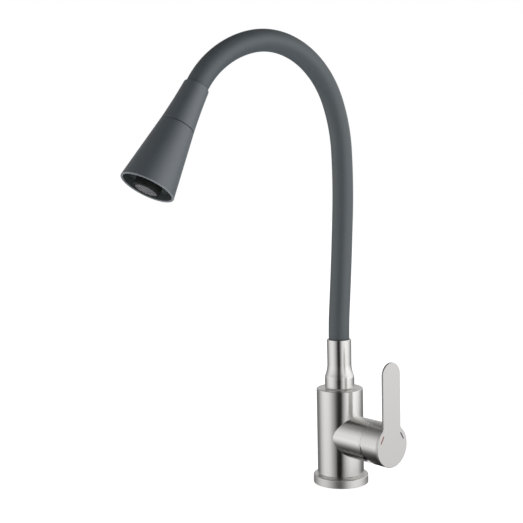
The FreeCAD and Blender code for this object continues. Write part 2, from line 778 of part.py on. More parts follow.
def neck_base_fitting():
    """Brass fitting screwed on the spigot: a nut, a stub for the silicone and the first socket."""
    nut_low = SPIGOT_FLANGE_TOP + FACE_GAP
    nut_top = nut_low + BASE_NUT_L
    stub = (NECK_D - 2 * NECK_WALL) / 2 - FIT
    stub_top = nut_top + BASE_STUB_L
    thread = NIPPLE_D / 2 + FIT
    cavity = FITTING_BORE_D / 2
    cavity_top = BASE_BALL_Z - SOCKET_DEPTH - BALL_END
    steps = socket_steps(BASE_BALL_Z)
    return lathe(
        (thread, nut_low), (BASE_NUT_D / 2, nut_low), (BASE_NUT_D / 2, nut_top), (stub, nut_top),
        (stub, stub_top), (LINK_D / 2, stub_top), *steps, (LINK_BORE_D / 2, cavity_top + FERRULE_WALL),
        (cavity, cavity_top), (cavity, NIPPLE_TOP + SEAM), (thread, NIPPLE_TOP + SEAM))


def hose_ferrule(low):
    inner = HOSE_D + 2 * FIT
    return tube(inner + 2 * FERRULE_WALL, inner, low, low + FERRULE_L)


def base_ferrule():
    return hose_ferrule(NIPPLE_TOP + FERRULE_INSET)


def water_hose():
    start = NIPPLE_TOP + FACE_GAP - SLEEVE_TOP
    return neck_tube(HOSE_D, HOSE_D - 2 * HOSE_WALL, start, NECK_L + HEAD_THREAD_END)


def silicone_sleeve():
    start = SPIGOT_FLANGE_TOP + FACE_GAP + BASE_NUT_L + FACE_GAP - SLEEVE_TOP
    return neck_tube(NECK_D, NECK_D - 2 * NECK_WALL, start, NECK_L + NECK_TUCK)


# Spray head

HEAD_BALL = LINK_PITCH
TAIL_FLANGE = HEAD_THREAD_END + FACE_GAP
WASHER = TAIL_FLANGE + TAIL_FLANGE_T
CORE_SEAT = WASHER + WASHER_T
CORE_START = HEAD_NUT_END + FACE_GAP
COLLAR_END = SEAM_AT - SEAM / 2
CONE_START = SEAM_AT + SEAM / 2
CONE_WEB_END = CONE_START + CONE_WEB_L
HEAD_CLIP_LOW = CONE_WEB_END + SEAM
CONE_SLOPE = (MOUTH_D - SEAM_D) / 2 / (HEAD_L - SEAM_AT)


def cone_radius(distance):
    """Outer radius of the lower cone at a distance from the collar's top."""
    return SEAM_D / 2 + CONE_SLOPE * (distance - SEAM_AT)


def cone_bore(distance):
    return cone_radius(distance) - CONE_WALL


def neck_head_fitting():
    """Brass fitting at the neck's far end: the last ball, a nut and the head's thread."""
    start, *rest = [(r, z + HEAD_BALL) if not isinstance(r, tuple)
                    else ((r[0], r[1] + HEAD_BALL), (z[0], z[1] + HEAD_BALL)) for r, z in ball_steps()]
    nut_low = HEAD_BALL + LINK_SHOULDER
    cavity_low = nut_low + BALL_END
    return on_head_axis(lathe(
        start, *rest, (HEAD_NUT_D / 2, nut_low + SEAM), (HEAD_NUT_D / 2, HEAD_NUT_END),
        (HEAD_THREAD_D / 2, HEAD_NUT_END), (HEAD_THREAD_D / 2, HEAD_THREAD_END),
        (FITTING_BORE_D / 2, HEAD_THREAD_END), (FITTING_BORE_D / 2, cavity_low),
        (LINK_BORE_D / 2, cavity_low - FERRULE_WALL)))


def hose_tail():
    """Barbed tail pressed into the hose, with a flange that the fitting clamps on the washer."""
    barb = (HOSE_D - 2 * HOSE_WALL) / 2 - FIT
    low = HEAD_THREAD_END - BARB_L
    flange = HEAD_THREAD_D / 2 - FIT
    return on_head_axis(lathe(
        (BARB_BORE_D / 2, low), (barb, low), (barb, TAIL_FLANGE), (flange, TAIL_FLANGE),
        (flange, WASHER), (BARB_BORE_D / 2, WASHER)))


def head_ferrule():
    return on_head_axis(hose_ferrule(HEAD_THREAD_END - FERRULE_INSET - FERRULE_L))


def head_washer():
    return on_head_axis(tube(HEAD_THREAD_D - 2 * FIT, CORE_BORE_D, WASHER, CORE_SEAT))


def head_collar():
    """Fixed upper cone of the head: a gentle flare from the neck to the seam."""
    top = COLLAR_D / 2
    foot = cone_radius(COLLAR_END)
    middle_z = COLLAR_END / 2
    middle = top + COLLAR_FLARE_SLOPE * middle_z + (foot - top - COLLAR_FLARE_SLOPE * COLLAR_END) / 4
    stop = NECK_TUCK + SEAM
    rest_r = CORE_D / 2 + FIT
    flange_r = CORE_FLANGE_D / 2 + FIT
    flange_z = COLLAR_END - CORE_FLANGE_T
    neck_bore = NECK_D / 2 + SEAM
    link_bore = (NECK_D - 2 * NECK_WALL) / 2
    return on_head_axis(lathe(
        (neck_bore, 0), (top - COLLAR_EDGE, 0), (top, COLLAR_EDGE), ((middle, middle_z), (foot, COLLAR_END)),
        (flange_r, COLLAR_END), (flange_r, flange_z), (rest_r, flange_z), (rest_r, stop + COLLAR_STOP),
        (link_bore, stop + COLLAR_STOP), (link_bore, stop), (neck_bore, stop)))


def head_core():
    """Inner core: holds the fitting and the collar, and is the shaft that the lower cone turns on."""
    shaft = CORE_D / 2
    nose = CORE_NOSE_D / 2
    thread = HEAD_THREAD_D / 2 + FIT
    bore = CORE_BORE_D / 2
    flange = CORE_FLANGE_D / 2
    flange_z = COLLAR_END - CORE_FLANGE_T + FIT
    shaft_end = HEAD_CLIP_LOW + CLIP_T + SEAM
    core = lathe(
        (thread, CORE_START), (shaft, CORE_START), (shaft, flange_z), (flange, flange_z),
        (flange, COLLAR_END), (shaft, COLLAR_END), (shaft, shaft_end), (nose, shaft_end),
        (nose, CORE_NOSE_END), (bore, CORE_NOSE_END), (bore, CORE_SEAT), (thread, CORE_SEAT))
    cuts = [o_ring_groove(CORE_NOSE_D, place) for place in CORE_O_RINGS]
    cuts.append(clip_groove(CORE_D, HEAD_CLIP_LOW))
    return on_head_axis(core.cut(cuts))


def core_o_rings():
    return [on_head_axis(ring) for ring in o_rings(CORE_NOSE_D, CORE_O_RINGS)]


def head_clip():
    inner_d = CORE_D - 2 * CLIP_GROOVE_DEPTH
    return on_head_axis(open_clip(HEAD_CLIP_D, inner_d, HEAD_CLIP_LOW, HEAD_CLIP_LOW + CLIP_T))


def head_cone():
    """Lower cone, turned by hand to change between jet and spray; its web runs on the core."""
    bearing = CORE_D / 2 + RUN
    rim = MOUTH_D / 2
    edge = MOUTH_EDGE
    low = (cone_radius(HEAD_L - edge), HEAD_L - edge)
    tip = (rim - edge, HEAD_L)
    return on_head_axis(lathe(
        (bearing, CONE_START), (cone_radius(CONE_START), CONE_START), low,
        (arc_middle((rim - edge, HEAD_L - edge), edge, low, tip), tip),
        (cone_bore(HEAD_L), HEAD_L), (cone_bore(CONE_WEB_END), CONE_WEB_END), (bearing, CONE_WEB_END)))


def mode_rotor():
    """Water divider that turns with the cone and seals on the core's nose."""
    bore = CORE_NOSE_D / 2 + RUN
    sleeve = ROTOR_SLEEVE_D / 2
    face = ROTOR_FACE
    start = ROTOR_DISC_START
    nose_seat = CORE_NOSE_END + SEAM
    chamber_start = AERATOR_START - FACE_GAP
    chamber = AERATOR_THREAD_D / 2 + FIT
    jet = CORE_BORE_D / 2
    body = lathe(
        (bore, ROTOR_START), (sleeve, ROTOR_START), (sleeve, start), (cone_bore(start) - FIT, start),
        (cone_bore(face) - FIT, face), (chamber, face), (chamber, chamber_start), (jet, chamber_start),
        (jet, nose_seat), (bore, nose_seat))
    feed = disc(FEED_HOLE_D, start, face)
    return on_head_axis(body.cut(ring_of(feed, FEED_HOLES, cone_bore(start) - FEED_RIM)))


def spray_plate():
    low = ROTOR_FACE + FACE_GAP
    high = low + SPRAY_PLATE_T
    bore = AERATOR_THREAD_D / 2 + FIT
    plate = lathe((bore, low), (cone_bore(low) - FIT, low), (cone_bore(high) - FIT, high), (bore, high))
    hole = disc(SPRAY_HOLE_D, low, high)
    cuts = []
    radius = cone_bore(low) - SPRAY_RIM
    for count in SPRAY_HOLES:
        cuts.extend(ring_of(hole, count, radius))
        radius -= SPRAY_RING_STEP
    return on_head_axis(plate.cut(cuts))


PLATE_FRONT = ROTOR_FACE + FACE_GAP + SPRAY_PLATE_T
INSERT_FRONT = AERATOR_END - AERATOR_LIP_T
INSERT_BACK = INSERT_FRONT - INSERT_T


def aerator_housing():
    """Black screw-in housing of the aerator, standing up from the spray plate."""
    thread = AERATOR_THREAD_D / 2
    collar = AERATOR_D / 2
    bore = INSERT_D / 2 + FIT
    collar_low = PLATE_FRONT + FACE_GAP
    return on_head_axis(lathe(
        (bore, AERATOR_START), (thread, AERATOR_START), (thread, collar_low), (collar, collar_low),
        (collar, AERATOR_END - AERATOR_EDGE), (collar - AERATOR_EDGE, AERATOR_END),
        (AERATOR_LIP_D / 2, AERATOR_END), (AERATOR_LIP_D / 2, INSERT_FRONT), (bore, INSERT_FRONT)))


def grid_places(pitch, reach):
    """Centres of a triangular grid within a reach of the axis."""
    places = []
    rows = int(reach / (pitch * math.sin(math.radians(60)))) + 1
    for row in range(-rows, rows + 1):
        y = row * pitch * math.sin(math.radians(60))
        shift = pitch / 2 if row % 2 else 0.0
        for column in range(-rows - 1, rows + 2):
            x = column * pitch + shift
            if math.hypot(x, y) <= reach:
                places.append((x, y))
    return places


def cell_prism(x, y, low, high):
    corner_r = CELL_W / 2 / math.cos(math.radians(30))
    corners = [Vector(x + corner_r * math.sin(math.radians(60 * k)),
                      y + corner_r * math.cos(math.radians(60 * k)), low) for k in range(7)]
    return Part.Face(Part.makePolygon(corners)).extrude(Vector(0, 0, high - low))


def aerator_insert():
    """Honeycomb flow straightener that shows in the mouth."""
    reach = AERATOR_LIP_D / 2 - CELL_W / 2
    cells = [cell_prism(x, y, INSERT_BACK, INSERT_FRONT) for x, y in grid_places(CELL_PITCH, reach)]
    return on_head_axis(disc(INSERT_D, INSERT_BACK, INSERT_FRONT).cut(cells))


def aerator_screens():
    """Two perforated screens behind the honeycomb, kept apart by their rims."""
    screens = []
    low = INSERT_BACK - SCREEN_GAP - SCREEN_T
    for _ in range(2):
        plate = disc(INSERT_D, low, low + SCREEN_T)
        reach = INSERT_D / 2 - SCREEN_PITCH
        holes = [Part.makeCylinder(SCREEN_HOLE_D / 2, SCREEN_T, Vector(x, y, low))
                 for x, y in grid_places(SCREEN_PITCH, reach)]
        rim = tube(INSERT_D, INSERT_D - SCREEN_PITCH, low + SCREEN_T, low + SCREEN_T + SCREEN_GAP)
        screens.append(on_head_axis(plate.cut(holes).fuse(rim).removeSplitter()))
        low -= SCREEN_GAP + SCREEN_T
    return screens


def aerator_seal():
    stack = 2 * (SCREEN_GAP + SCREEN_T)
    high = INSERT_BACK - stack
    return on_head_axis(tube(INSERT_D, INSERT_D - 2 * AERATOR_SEAL_W, high - AERATOR_SEAL_T, high))


def build():
    """Every piece of the tap under its name."""
    pieces = {
        "deck_flange": deck_flange(),
        "deck_seal": deck_seal(),
        "body_shell": body_shell(),
        "side_housing": side_housing(),
        "valve_block": valve_block(),
        "cartridge_base": cartridge_base(),
        "port_seals": port_seals(),
        "fixed_ceramic_disc": fixed_disc(),
        "moving_ceramic_disc": moving_disc(),
        "disc_carrier": disc_carrier(),
        "cartridge_shell": cartridge_shell(),
        "cartridge_rotor": cartridge_rotor(),
        "pivot_pin": pivot_pin(),
        "spindle": spindle(),
        "cartridge_nut": cartridge_nut(),
        "cover_ring": cover_ring(),
        "lever_hub": lever_hub(),
        "lever_blade": lever_blade(),
        "lever_grub_screw": lever_grub_screw(),
        "hot_mark": hot_mark(),
        "cold_mark": cold_mark(),
        "swivel_spigot": swivel_spigot(),
        "swivel_o_rings": swivel_o_rings(),
        "swivel_clip": swivel_clip(),
        "swivel_bush": swivel_bush(),
        "spout_sleeve": spout_sleeve(),
        "neck_base_fitting": neck_base_fitting(),
        "base_hose_ferrule": base_ferrule(),
        "water_hose": water_hose(),
        "silicone_sleeve": silicone_sleeve(),
        "neck_head_fitting": neck_head_fitting(),
        "hose_tail": hose_tail(),
        "head_hose_ferrule": head_ferrule(),
        "head_washer": head_washer(),
        "head_collar": head_collar(),
        "head_core": head_core(),
        "core_o_rings": core_o_rings(),
        "head_clip": head_clip(),
        "head_cone": head_cone(),
        "mode_rotor": mode_rotor(),
        "spray_plate": spray_plate(),
        "aerator_housing": aerator_housing(),
        "aerator_insert": aerator_insert(),
        "aerator_screens": aerator_screens(),
        "aerator_seal": aerator_seal(),
    }
    half = LINKS_PER_GROUP // 2
    pieces["neck_links_base"] = links_between(-1, half)
    for group in range(1, NECK_JOINTS):
        first = half + (group - 1) * LINKS_PER_GROUP
        pieces["neck_links_%d" % group] = links_between(first, first + LINKS_PER_GROUP)
    pieces["neck_links_head"] = links_between(LINK_COUNT - half, LINK_COUNT + 1)
    return pieces


def export(pieces):
    os.makedirs("parts", exist_ok=True)
    for name, piece in pieces.items():
        shape = Part.makeCompound(piece) if isinstance(piece, list) else piece
        shape.exportStep(os.path.join("parts", name + ".step"))


export(build())
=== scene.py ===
import functools
import json
import math

import bmesh
import bpy
from bpy.props import FloatProperty, FloatVectorProperty, IntProperty, PointerProperty
from mathutils import Matrix, Vector


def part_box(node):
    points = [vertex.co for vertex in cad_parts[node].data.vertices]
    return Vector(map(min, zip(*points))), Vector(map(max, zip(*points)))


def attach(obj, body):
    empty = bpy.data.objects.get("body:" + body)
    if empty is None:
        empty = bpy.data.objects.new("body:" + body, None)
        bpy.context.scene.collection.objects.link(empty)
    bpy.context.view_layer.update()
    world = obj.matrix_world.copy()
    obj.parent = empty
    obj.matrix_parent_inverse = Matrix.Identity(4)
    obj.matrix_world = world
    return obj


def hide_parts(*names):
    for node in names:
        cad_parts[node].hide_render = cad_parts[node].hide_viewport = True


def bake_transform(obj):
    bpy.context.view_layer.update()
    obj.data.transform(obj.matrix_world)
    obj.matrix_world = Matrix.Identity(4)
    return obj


bl_info = {
    "name": "Kitchen mixer tap",
    "version": (1, 0, 0),
    "blender": (4, 5, 0),
    "location": "3D View > Sidebar > Tap",
    "description": "Dresses the packed mixer tap: turned steel, silicone neck, coated spray head and studio",
    "category": "Add Mesh",
}

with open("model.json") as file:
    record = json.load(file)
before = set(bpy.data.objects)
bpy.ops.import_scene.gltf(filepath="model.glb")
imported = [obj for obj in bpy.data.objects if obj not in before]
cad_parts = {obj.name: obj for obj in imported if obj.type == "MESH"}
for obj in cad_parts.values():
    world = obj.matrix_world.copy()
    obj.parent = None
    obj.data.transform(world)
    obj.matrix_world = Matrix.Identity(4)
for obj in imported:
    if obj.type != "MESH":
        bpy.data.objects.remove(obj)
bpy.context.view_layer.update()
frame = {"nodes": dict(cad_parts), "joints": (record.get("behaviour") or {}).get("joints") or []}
MM = 0.001
SAME_PLACE = 1e-9


# Sizes read from the frame

def low_corner(node):
    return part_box(node)[0]


def high_corner(node):
    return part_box(node)[1]


def radius_of(node, axis=0):
    low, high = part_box(node)
    return (high[axis] - low[axis]) / 2


# The neck's route, in the frame's own metres: each run is a length and the angle that it turns forward
NECK_RUNS = (
    (0.030, -4.7), (0.092, 1.8), (0.060, 6.4), (0.048, 19.9), (0.116, 79.3), (0.048, 25.7), (0.0308, 19.9))
NECK_LENGTH = sum(length for length, turn in NECK_RUNS)
NECK_FOOT = high_corner("spout_sleeve").z
NECK_BODIES = ["spout_base"] + ["neck_%d" % k for k in range(1, 9)] + ["spray_head"]
SEGMENT = NECK_LENGTH / (len(NECK_BODIES) - 1)
LEVER_AXIS_Z = (low_corner("side_housing").z + high_corner("side_housing").z) / 2


def neck_matrix(distance):
    """Places a piece turned about Z on the neck's line, at a distance from the steel sleeve's top."""
    forward, height, lean = 0.0, NECK_FOOT, 0.0
    left = distance
    if left > 0:
        for length, turn in NECK_RUNS:
            used = min(left, length)
            radius = length / math.radians(turn)
            end = lean + used / radius
            forward += radius * (math.cos(lean) - math.cos(end))
            height += radius * (math.sin(end) - math.sin(lean))
            lean = end
            left -= used
            if left <= 0:
                break
    forward += left * math.sin(lean)
    height += left * math.cos(lean)
    return Matrix.Translation((0, -forward, height)) @ Matrix.Rotation(lean, 4, "X")


def on_lever_axis():
    """Lays a piece turned about Z along the lever axis, its heights becoming X."""
    return Matrix.Translation((0, 0, LEVER_AXIS_Z)) @ Matrix.Rotation(math.radians(90), 4, "Y")


# Settings that a user may change

SIZES_MM = (
    ("flange_height", 8.0, "Deck flange without its seat"),
    ("flange_round", 1.0, "Flange's top edge"),
    ("seat_radius", 21.9, "Step between flange and body"),
    ("groove_width", 0.9, "Shadow groove round the body's seat"),
    ("groove_depth", 0.7, "Shadow groove round the body's seat"),
    ("body_round", 0.8, "Body tube's top edge"),
    ("body_foot_round", 1.0, "Bevel where the body tube meets its seat"),
    ("body_wall", 2.5, "Wall of the body tube"),
    ("body_top_wall", 3.0, "Body's top face"),
    ("housing_wall", 2.4, "Wall of the side tube"),
    ("crisp_round", 0.25, "Rounding of edges that look sharp"),
    ("ring_radius", 19.9, "Polished ring's flange"),
    ("ring_flange", 1.3, "Polished ring's flange, along the lever axis"),
    ("ring_ball", 18.2, "Ball that the lever's cup rocks round"),
    ("ring_bore", 13.2, "Bore of the polished ring"),
    ("hub_wall", 1.4, "Wall of the lever's cup"),
    ("hub_floor", 3.1, "Cup behind the face plate"),
    ("blade_half", 11.6, "Half the width of the lever's blade"),
    ("blade_fillet", 4.0, "Fillet between the lever's disc and its blade"),
    ("blade_round", 0.5, "Rounding of the face plate's front edge"),
    ("mark_radius", 15.4, "Temperature marks from the lever's centre"),
    ("mark_length", 7.9, "Pocket of a temperature mark"),
    ("mark_width", 1.3, "Pocket of a temperature mark"),
    ("mark_depth", 0.4, "Pocket of a temperature mark"),
    ("sleeve_top_radius", 11.8, "Steel sleeve where the neck enters"),
    ("sleeve_waist_radius", 11.7, "Steel sleeve above its flare"),
    ("sleeve_foot_height", 9.2, "Straight foot of the steel sleeve"),
    ("sleeve_flare_height", 14.0, "Flare of the steel sleeve"),
    ("sleeve_convex", 8.0, "Flare's outward curve"),
    ("sleeve_wall", 1.3, "Wall of the steel sleeve's foot"),
    ("sleeve_round", 0.7, "Steel sleeve's lip"),
    ("neck_radius", 10.0, "Outside of the silicone neck"),
    ("neck_wall", 1.6, "Wall of the silicone neck"),
    ("neck_tuck", 6.0, "Silicone inside the spray head's collar"),
    ("hose_radius", 3.7, "Outside of the water hose in the neck"),
    ("hose_wall", 1.15, "Wall of the water hose"),
    ("collar_radius", 11.4, "Head's collar where the neck enters"),
    ("seam_radius", 15.2, "Head at its seam"),
    ("seam_place", 40.0, "Distance of the seam from the collar's top"),
    ("seam_gap", 0.4, "Gap between the head's two cones"),
    ("seam_round", 0.45, "Edges beside the seam"),
    ("mouth_radius", 23.9, "Head at its mouth"),
    ("head_length", 99.5, "Length of the spray head"),
    ("head_wall", 2.0, "Wall of the lower cone"),
    ("mouth_round", 0.8, "Rounding of the mouth's rim"),
)
COLOURS = (
    ("steel", (0.74, 0.73, 0.715), "Brushed stainless steel"),
    # Painted shade: dark colour for the lever plate's back bevel and side walls above the marks
    ("cut_edge", (0.22, 0.22, 0.215), "Darker cut edge of the lever's plate"),
    ("polished", (0.78, 0.78, 0.79), "Polished ring beside the lever"),
    ("silicone", (0.050, 0.061, 0.068), "Silicone of the neck"),
    ("coating", (0.054, 0.066, 0.075), "Satin coating of the spray head"),
    # Painted highlight: lighter coating on the mouth's rim, where the rounded rim catches light
    ("rim", (0.14, 0.155, 0.17), "Coating along the mouth's rim, where it is thin"),
    # Dark plate inside the mouth, its own dark colour deepened by painted shade; the same colour paints shade on
    # the cone's inner wall by the mouth
    ("recess", (0.030, 0.037, 0.037), "Plate inside the mouth"),
    ("aerator", (0.008, 0.009, 0.009), "Screwed ring of the aerator"),
    ("honeycomb", (0.17, 0.17, 0.18), "Flow straightener in the aerator"),
    ("hot", (0.16, 0.006, 0.012), "Enamel of the hot mark"),
    ("cold", (0.006, 0.010, 0.045), "Enamel of the cold mark"),
    ("brass", (0.72, 0.55, 0.28), "Turned brass inside the tap"),
    ("spring_steel", (0.52, 0.52, 0.53), "Pins, clips and screens"),
    ("plastic", (0.70, 0.70, 0.68), "Plastic of the cartridge"),
    ("core", (0.62, 0.62, 0.60), "Plastic of the head's core"),
    ("link", (0.060, 0.060, 0.065), "Plastic of the neck's links"),
    ("ceramic", (0.80, 0.79, 0.76), "Lapped ceramic discs"),
    ("rubber", (0.022, 0.022, 0.023), "Seals and O-rings"),
    ("hose", (0.45, 0.45, 0.43), "Hose inside the neck"),
    ("floor", (0.92, 0.92, 0.92), "Floor of the studio"),
)
STUDIO_VALUES = (
    ("lens", 65.17, "NONE", "Focal length on a 36 mm wide sensor"),
    ("azimuth", 45.842, "NONE", "Camera's heading round the tap, in degrees"),
    ("distance", 0.914127, "LENGTH", "Camera's distance from the body's axis"),
    ("height", 0.282306, "LENGTH", "Camera's height"),
    ("yaw", 4.622, "NONE", "Turn of the view away from the body, in degrees"),
    ("pitch", -4.091, "NONE", "Upward tilt of the view, in degrees"),
    ("roll", -1.175, "NONE", "Roll of the camera, in degrees"),
    ("fill", 0.8, "NONE", "Strength of the even light from all round"),
    ("key", 14.0, "NONE", "Power of the right softbox, in watts"),
    ("side", 4.0, "NONE", "Power of the left softbox, in watts"),
)


def label(name):
    return name.replace("_", " ").capitalize()


class TapSizes(bpy.types.PropertyGroup):
    """The tap's sizes, in metres"""
    __annotations__ = {
        name: FloatProperty(
            name=label(name), description=about, default=default * MM, unit="LENGTH", precision=4)
        for name, default, about in SIZES_MM}


class TapColours(bpy.types.PropertyGroup):
    """Colours of the tap's finishes"""
    __annotations__ = {
        name: FloatVectorProperty(
            name=label(name), description=about, default=default, size=3, min=0, max=1, subtype="COLOR")
        for name, default, about in COLOURS}


class TapStudio(bpy.types.PropertyGroup):
    """Camera, light and fineness of the turned pieces"""
    __annotations__ = {
        name: FloatProperty(name=label(name), description=about, default=default, unit=unit)
        for name, default, unit, about in STUDIO_VALUES}
    __annotations__["segments"] = IntProperty(
        name="Segments", description="Steps round a turned piece", default=160, min=24)


def sizes():
    return bpy.context.scene.tap_sizes


def colours():
    return bpy.context.scene.tap_colours


def studio():
    return bpy.context.scene.tap_studio


# Outlines: a closed chain of stretches in the (radius, height) half plane, run anticlockwise so that
# the outward side lies to the right. Each stretch is a list of (point, normal) pairs.

def unit_normal(a, b):
    """Outward normal of a stretch from a to b."""
    step = Vector((b[0] - a[0], b[1] - a[1])).normalized()
    return Vector((step.y, -step.x))


def curve_stretch(points):
    """Stretch through points of a smooth curve, its normals from the neighbours on each side."""
    last = len(points) - 1
    return [(Vector(point), unit_normal(points[max(i - 1, 0)], points[min(i + 1, last)]))
            for i, point in enumerate(points)]


def corner_arc(before, corner, after, radius, steps):
    """Arc of a rounded corner as (point, normal) pairs."""
    corner = Vector(corner)
    back = (Vector(before) - corner).normalized()
    ahead = (Vector(after) - corner).normalized()
    half = back.angle(ahead) / 2
    centre = corner + (back + ahead).normalized() * (radius / math.sin(half))
    first = corner + back * (radius / math.tan(half)) - centre
    last = corner + ahead * (radius / math.tan(half)) - centre
    side = 1 if unit_normal(before, corner).dot(ahead) < 0 else -1
    sweep = first.angle_signed(last)
    spokes = [Matrix.Rotation(-sweep * i / steps, 2) @ first for i in range(steps + 1)]
    return [(centre + spoke, spoke.normalized() * side) for spoke in spokes]


def outline(*items, steps=6):
    """Stretches of a closed outline. An item is a sharp corner (r, h), a rounded one (r, h, radius) or a
    list of points of a smooth curve."""
    def near(item, first):
        if isinstance(item, list):
            return item[0] if first else item[-1]
        return item[:2]

    count = len(items)
    parts = []
    for i, item in enumerate(items):
        before = near(items[i - 1], False)
        after = near(items[(i + 1) % count], True)
        if isinstance(item, list):
            parts.append(curve_stretch(item))
        elif len(item) == 3:
            parts.append(corner_arc(before, item[:2], after, item[2], steps))
        else:
            parts.append([(Vector(item), None)])
    stretches = []
    for i, part in enumerate(parts):
        following = parts[(i + 1) % count]
        if len(part) > 1:
            stretches.append(part)
        a = part[-1][0]
        b = following[0][0]
        if (b - a).length > SAME_PLACE:
            normal = unit_normal(a, b)
            stretches.append([(a, normal), (b, normal)])
    return stretches


def add_object(name, data):
    made = bpy.data.objects.new(name, data)
    bpy.context.scene.collection.objects.link(made)
    return made


def new_piece(name, verts, faces, normals, material):
    """Mesh object with the given normal at each face corner."""
    mesh = bpy.data.meshes.new(name)
    mesh.from_pydata([tuple(v) for v in verts], [], faces)
    mesh.polygons.foreach_set("use_smooth", [True] * len(faces))
    mesh.normals_split_custom_set([tuple(n) for face in normals for n in face])
    mesh.materials.append(material)
    piece = add_object(name, mesh)
    return piece


def lathe(name, stretches, place, material, warp=None):
    """Turns an outline about its own Z and places it; warp moves a point (x, y, z) before that."""
    around = studio().segments
    turns = [2 * math.pi * k / around for k in range(around)]
    verts, faces, normals = [], [], []
    rings = []
    spin = place.to_3x3()

    def ring(point):
        """Index of the first vertex of a ring at this point, made once."""
        for known, start in rings:
            if (known - point).length < SAME_PLACE:
                return start
        start = len(verts)
        rings.append((point, start))
        for turn in turns:
            local = Vector((point.x * math.cos(turn), point.x * math.sin(turn), point.y))
            verts.append(place @ (warp(local) if warp else local))
        return start

    def normal_at(normal, turn):
        return spin @ Vector((normal.x * math.cos(turn), normal.x * math.sin(turn), normal.y))

    for stretch in stretches:
        for (a, normal_a), (b, normal_b) in zip(stretch, stretch[1:]):
            low, high = ring(a), ring(b)
            for k in range(around):
                after = (k + 1) % around
                faces.append((low + k, low + after, high + after, high + k))
                normals.append((normal_at(normal_a, turns[k]), normal_at(normal_a, turns[after]),
                                normal_at(normal_b, turns[after]), normal_at(normal_b, turns[k])))
    return new_piece(name, verts, faces, normals, material)


def arc_points(centre, radius, start, end, steps):
    """Points of an arc between two angles in degrees."""
    turns = [math.radians(start + (end - start) * i / steps) for i in range(steps + 1)]
    return [(centre[0] + radius * math.cos(turn), centre[1] + radius * math.sin(turn)) for turn in turns]


def turned_piece(name, stretches, finish, node, body, place=Matrix.Identity(4), warp=None):
    """Turned piece that stands for a CAD node and rides on its body."""
    piece = lathe(name, stretches, place, finish_of(finish), warp)
    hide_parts(node)
    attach(piece, body)
    return piece


# Shader building

def bare_tree(owner):
    """Empty node tree of a material or a world."""
    owner.use_nodes = True
    owner.node_tree.nodes.clear()
    return owner.node_tree


def add_node(tree, kind, inputs=None, **settings):
    """Adds a shader node; an input is a constant, or another node's output to link."""
    node = tree.nodes.new("ShaderNode" + kind)
    for name, value in settings.items():
        setattr(node, name, value)
    for name, value in (inputs or {}).items():
        if isinstance(value, bpy.types.NodeSocket):
            tree.links.new(value, node.inputs[name])
        else:
            node.inputs[name].default_value = value
    return node


def math_node(tree, operation, a, b=0.0):
    return add_node(tree, "Math", {0: a, 1: b}, operation=operation).outputs[0]


def mix_value(tree, factor, low, high):
    """Low where the factor is 0 and high where it is 1."""
    return add_node(tree, "MapRange", {
        "Value": factor, "To Min": low, "To Max": high}).outputs["Result"]


def noise(tree, vector, scale, detail=2.0, roughness=0.5):
    return add_node(tree, "TexNoise", {
        "Vector": vector, "Scale": scale, "Detail": detail, "Roughness": roughness}).outputs["Fac"]


def surface_group(name, pattern, pattern_kind, default):
    """Empty group of a surface effect, and its end nodes; pattern is the input that sets its scale."""
    tree = bpy.data.node_groups.new(name, "ShaderNodeTree")
    for title, kind, value in (
            ("Colour", "NodeSocketColor", (0.5, 0.5, 0.5, 1)), (pattern, pattern_kind, default),
            ("Contrast", "NodeSocketFloat", 0.1), ("Roughness", "NodeSocketFloat", 0.4),
            ("Roughness spread", "NodeSocketFloat", 0.1)):
        tree.interface.new_socket(name=title, in_out="INPUT", socket_type=kind).default_value = value
    for title, kind in (
            ("Colour", "NodeSocketColor"), ("Roughness", "NodeSocketFloat"), ("Height", "NodeSocketFloat")):
        tree.interface.new_socket(name=title, in_out="OUTPUT", socket_type=kind)
    return tree, tree.nodes.new("NodeGroupInput"), tree.nodes.new("NodeGroupOutput")


CONTRAST_GAIN = 4.0
GRAIN_DEPTH = 0.05 * MM
BRUSH_DEPTH = 0.1 * MM
BRUSH_BUMP = 0.06


def finish_group(tree, given, out, tone, height):
    """Joins an effect's tone, 0.5 on average, and its height to the group's outputs."""
    swing = math_node(tree, "SUBTRACT", tone, 0.5)
    contrast = math_node(tree, "MULTIPLY", swing, given.outputs["Contrast"])
    factor = math_node(tree, "ADD", math_node(tree, "MULTIPLY", contrast, CONTRAST_GAIN), 1.0)
    spread = math_node(tree, "MULTIPLY", swing, given.outputs["Roughness spread"])
    colour = add_node(tree, "VectorMath", {0: given.outputs["Colour"], "Scale": factor}, operation="SCALE")
    tree.links.new(colour.outputs[0], out.inputs["Colour"])
    tree.links.new(math_node(tree, "ADD", given.outputs["Roughness"], spread), out.inputs["Roughness"])
    tree.links.new(height, out.inputs["Height"])
    return tree


def weighed(tree, *parts):
    """Sum of (value, share) pairs."""
    total = 0.0
    for value, share in parts:
        total = math_node(tree, "ADD", math_node(tree, "MULTIPLY", value, share), total)
    return total


@functools.cache
def brushed_group():
    """Fine and broad brush lines; Lines gives how often they repeat along each axis, per metre."""
    tree, given, out = surface_group("Brushed lines", "Lines", "NodeSocketVector", (30, 30, 6000))
    place = add_node(tree, "TexCoord").outputs["Object"]
    along = add_node(tree, "VectorMath", {0: place, 1: given.outputs["Lines"]},
                     operation="MULTIPLY").outputs[0]
    fine = noise(tree, along, 1.0, 3.0, 0.65)
    broad = noise(tree, along, 0.16)
    cloud = noise(tree, place, 45.0)
    return finish_group(tree, given, out, weighed(tree, (fine, 0.6), (broad, 0.2), (cloud, 0.2)), fine)


@functools.cache
def moulded_group():
    """Fine grain with faint clouds, for silicone, coatings, plastics and rubber."""
    tree, given, out = surface_group("Moulded grain", "Grain", "NodeSocketFloat", 2500.0)
    place = add_node(tree, "TexCoord").outputs["Object"]
    grain = noise(tree, place, given.outputs["Grain"], 2.0, 0.6)
    cloud = noise(tree, place, 38.0, 3.0, 0.55)
    return finish_group(tree, given, out, weighed(tree, (grain, 0.4), (cloud, 0.6)), grain)


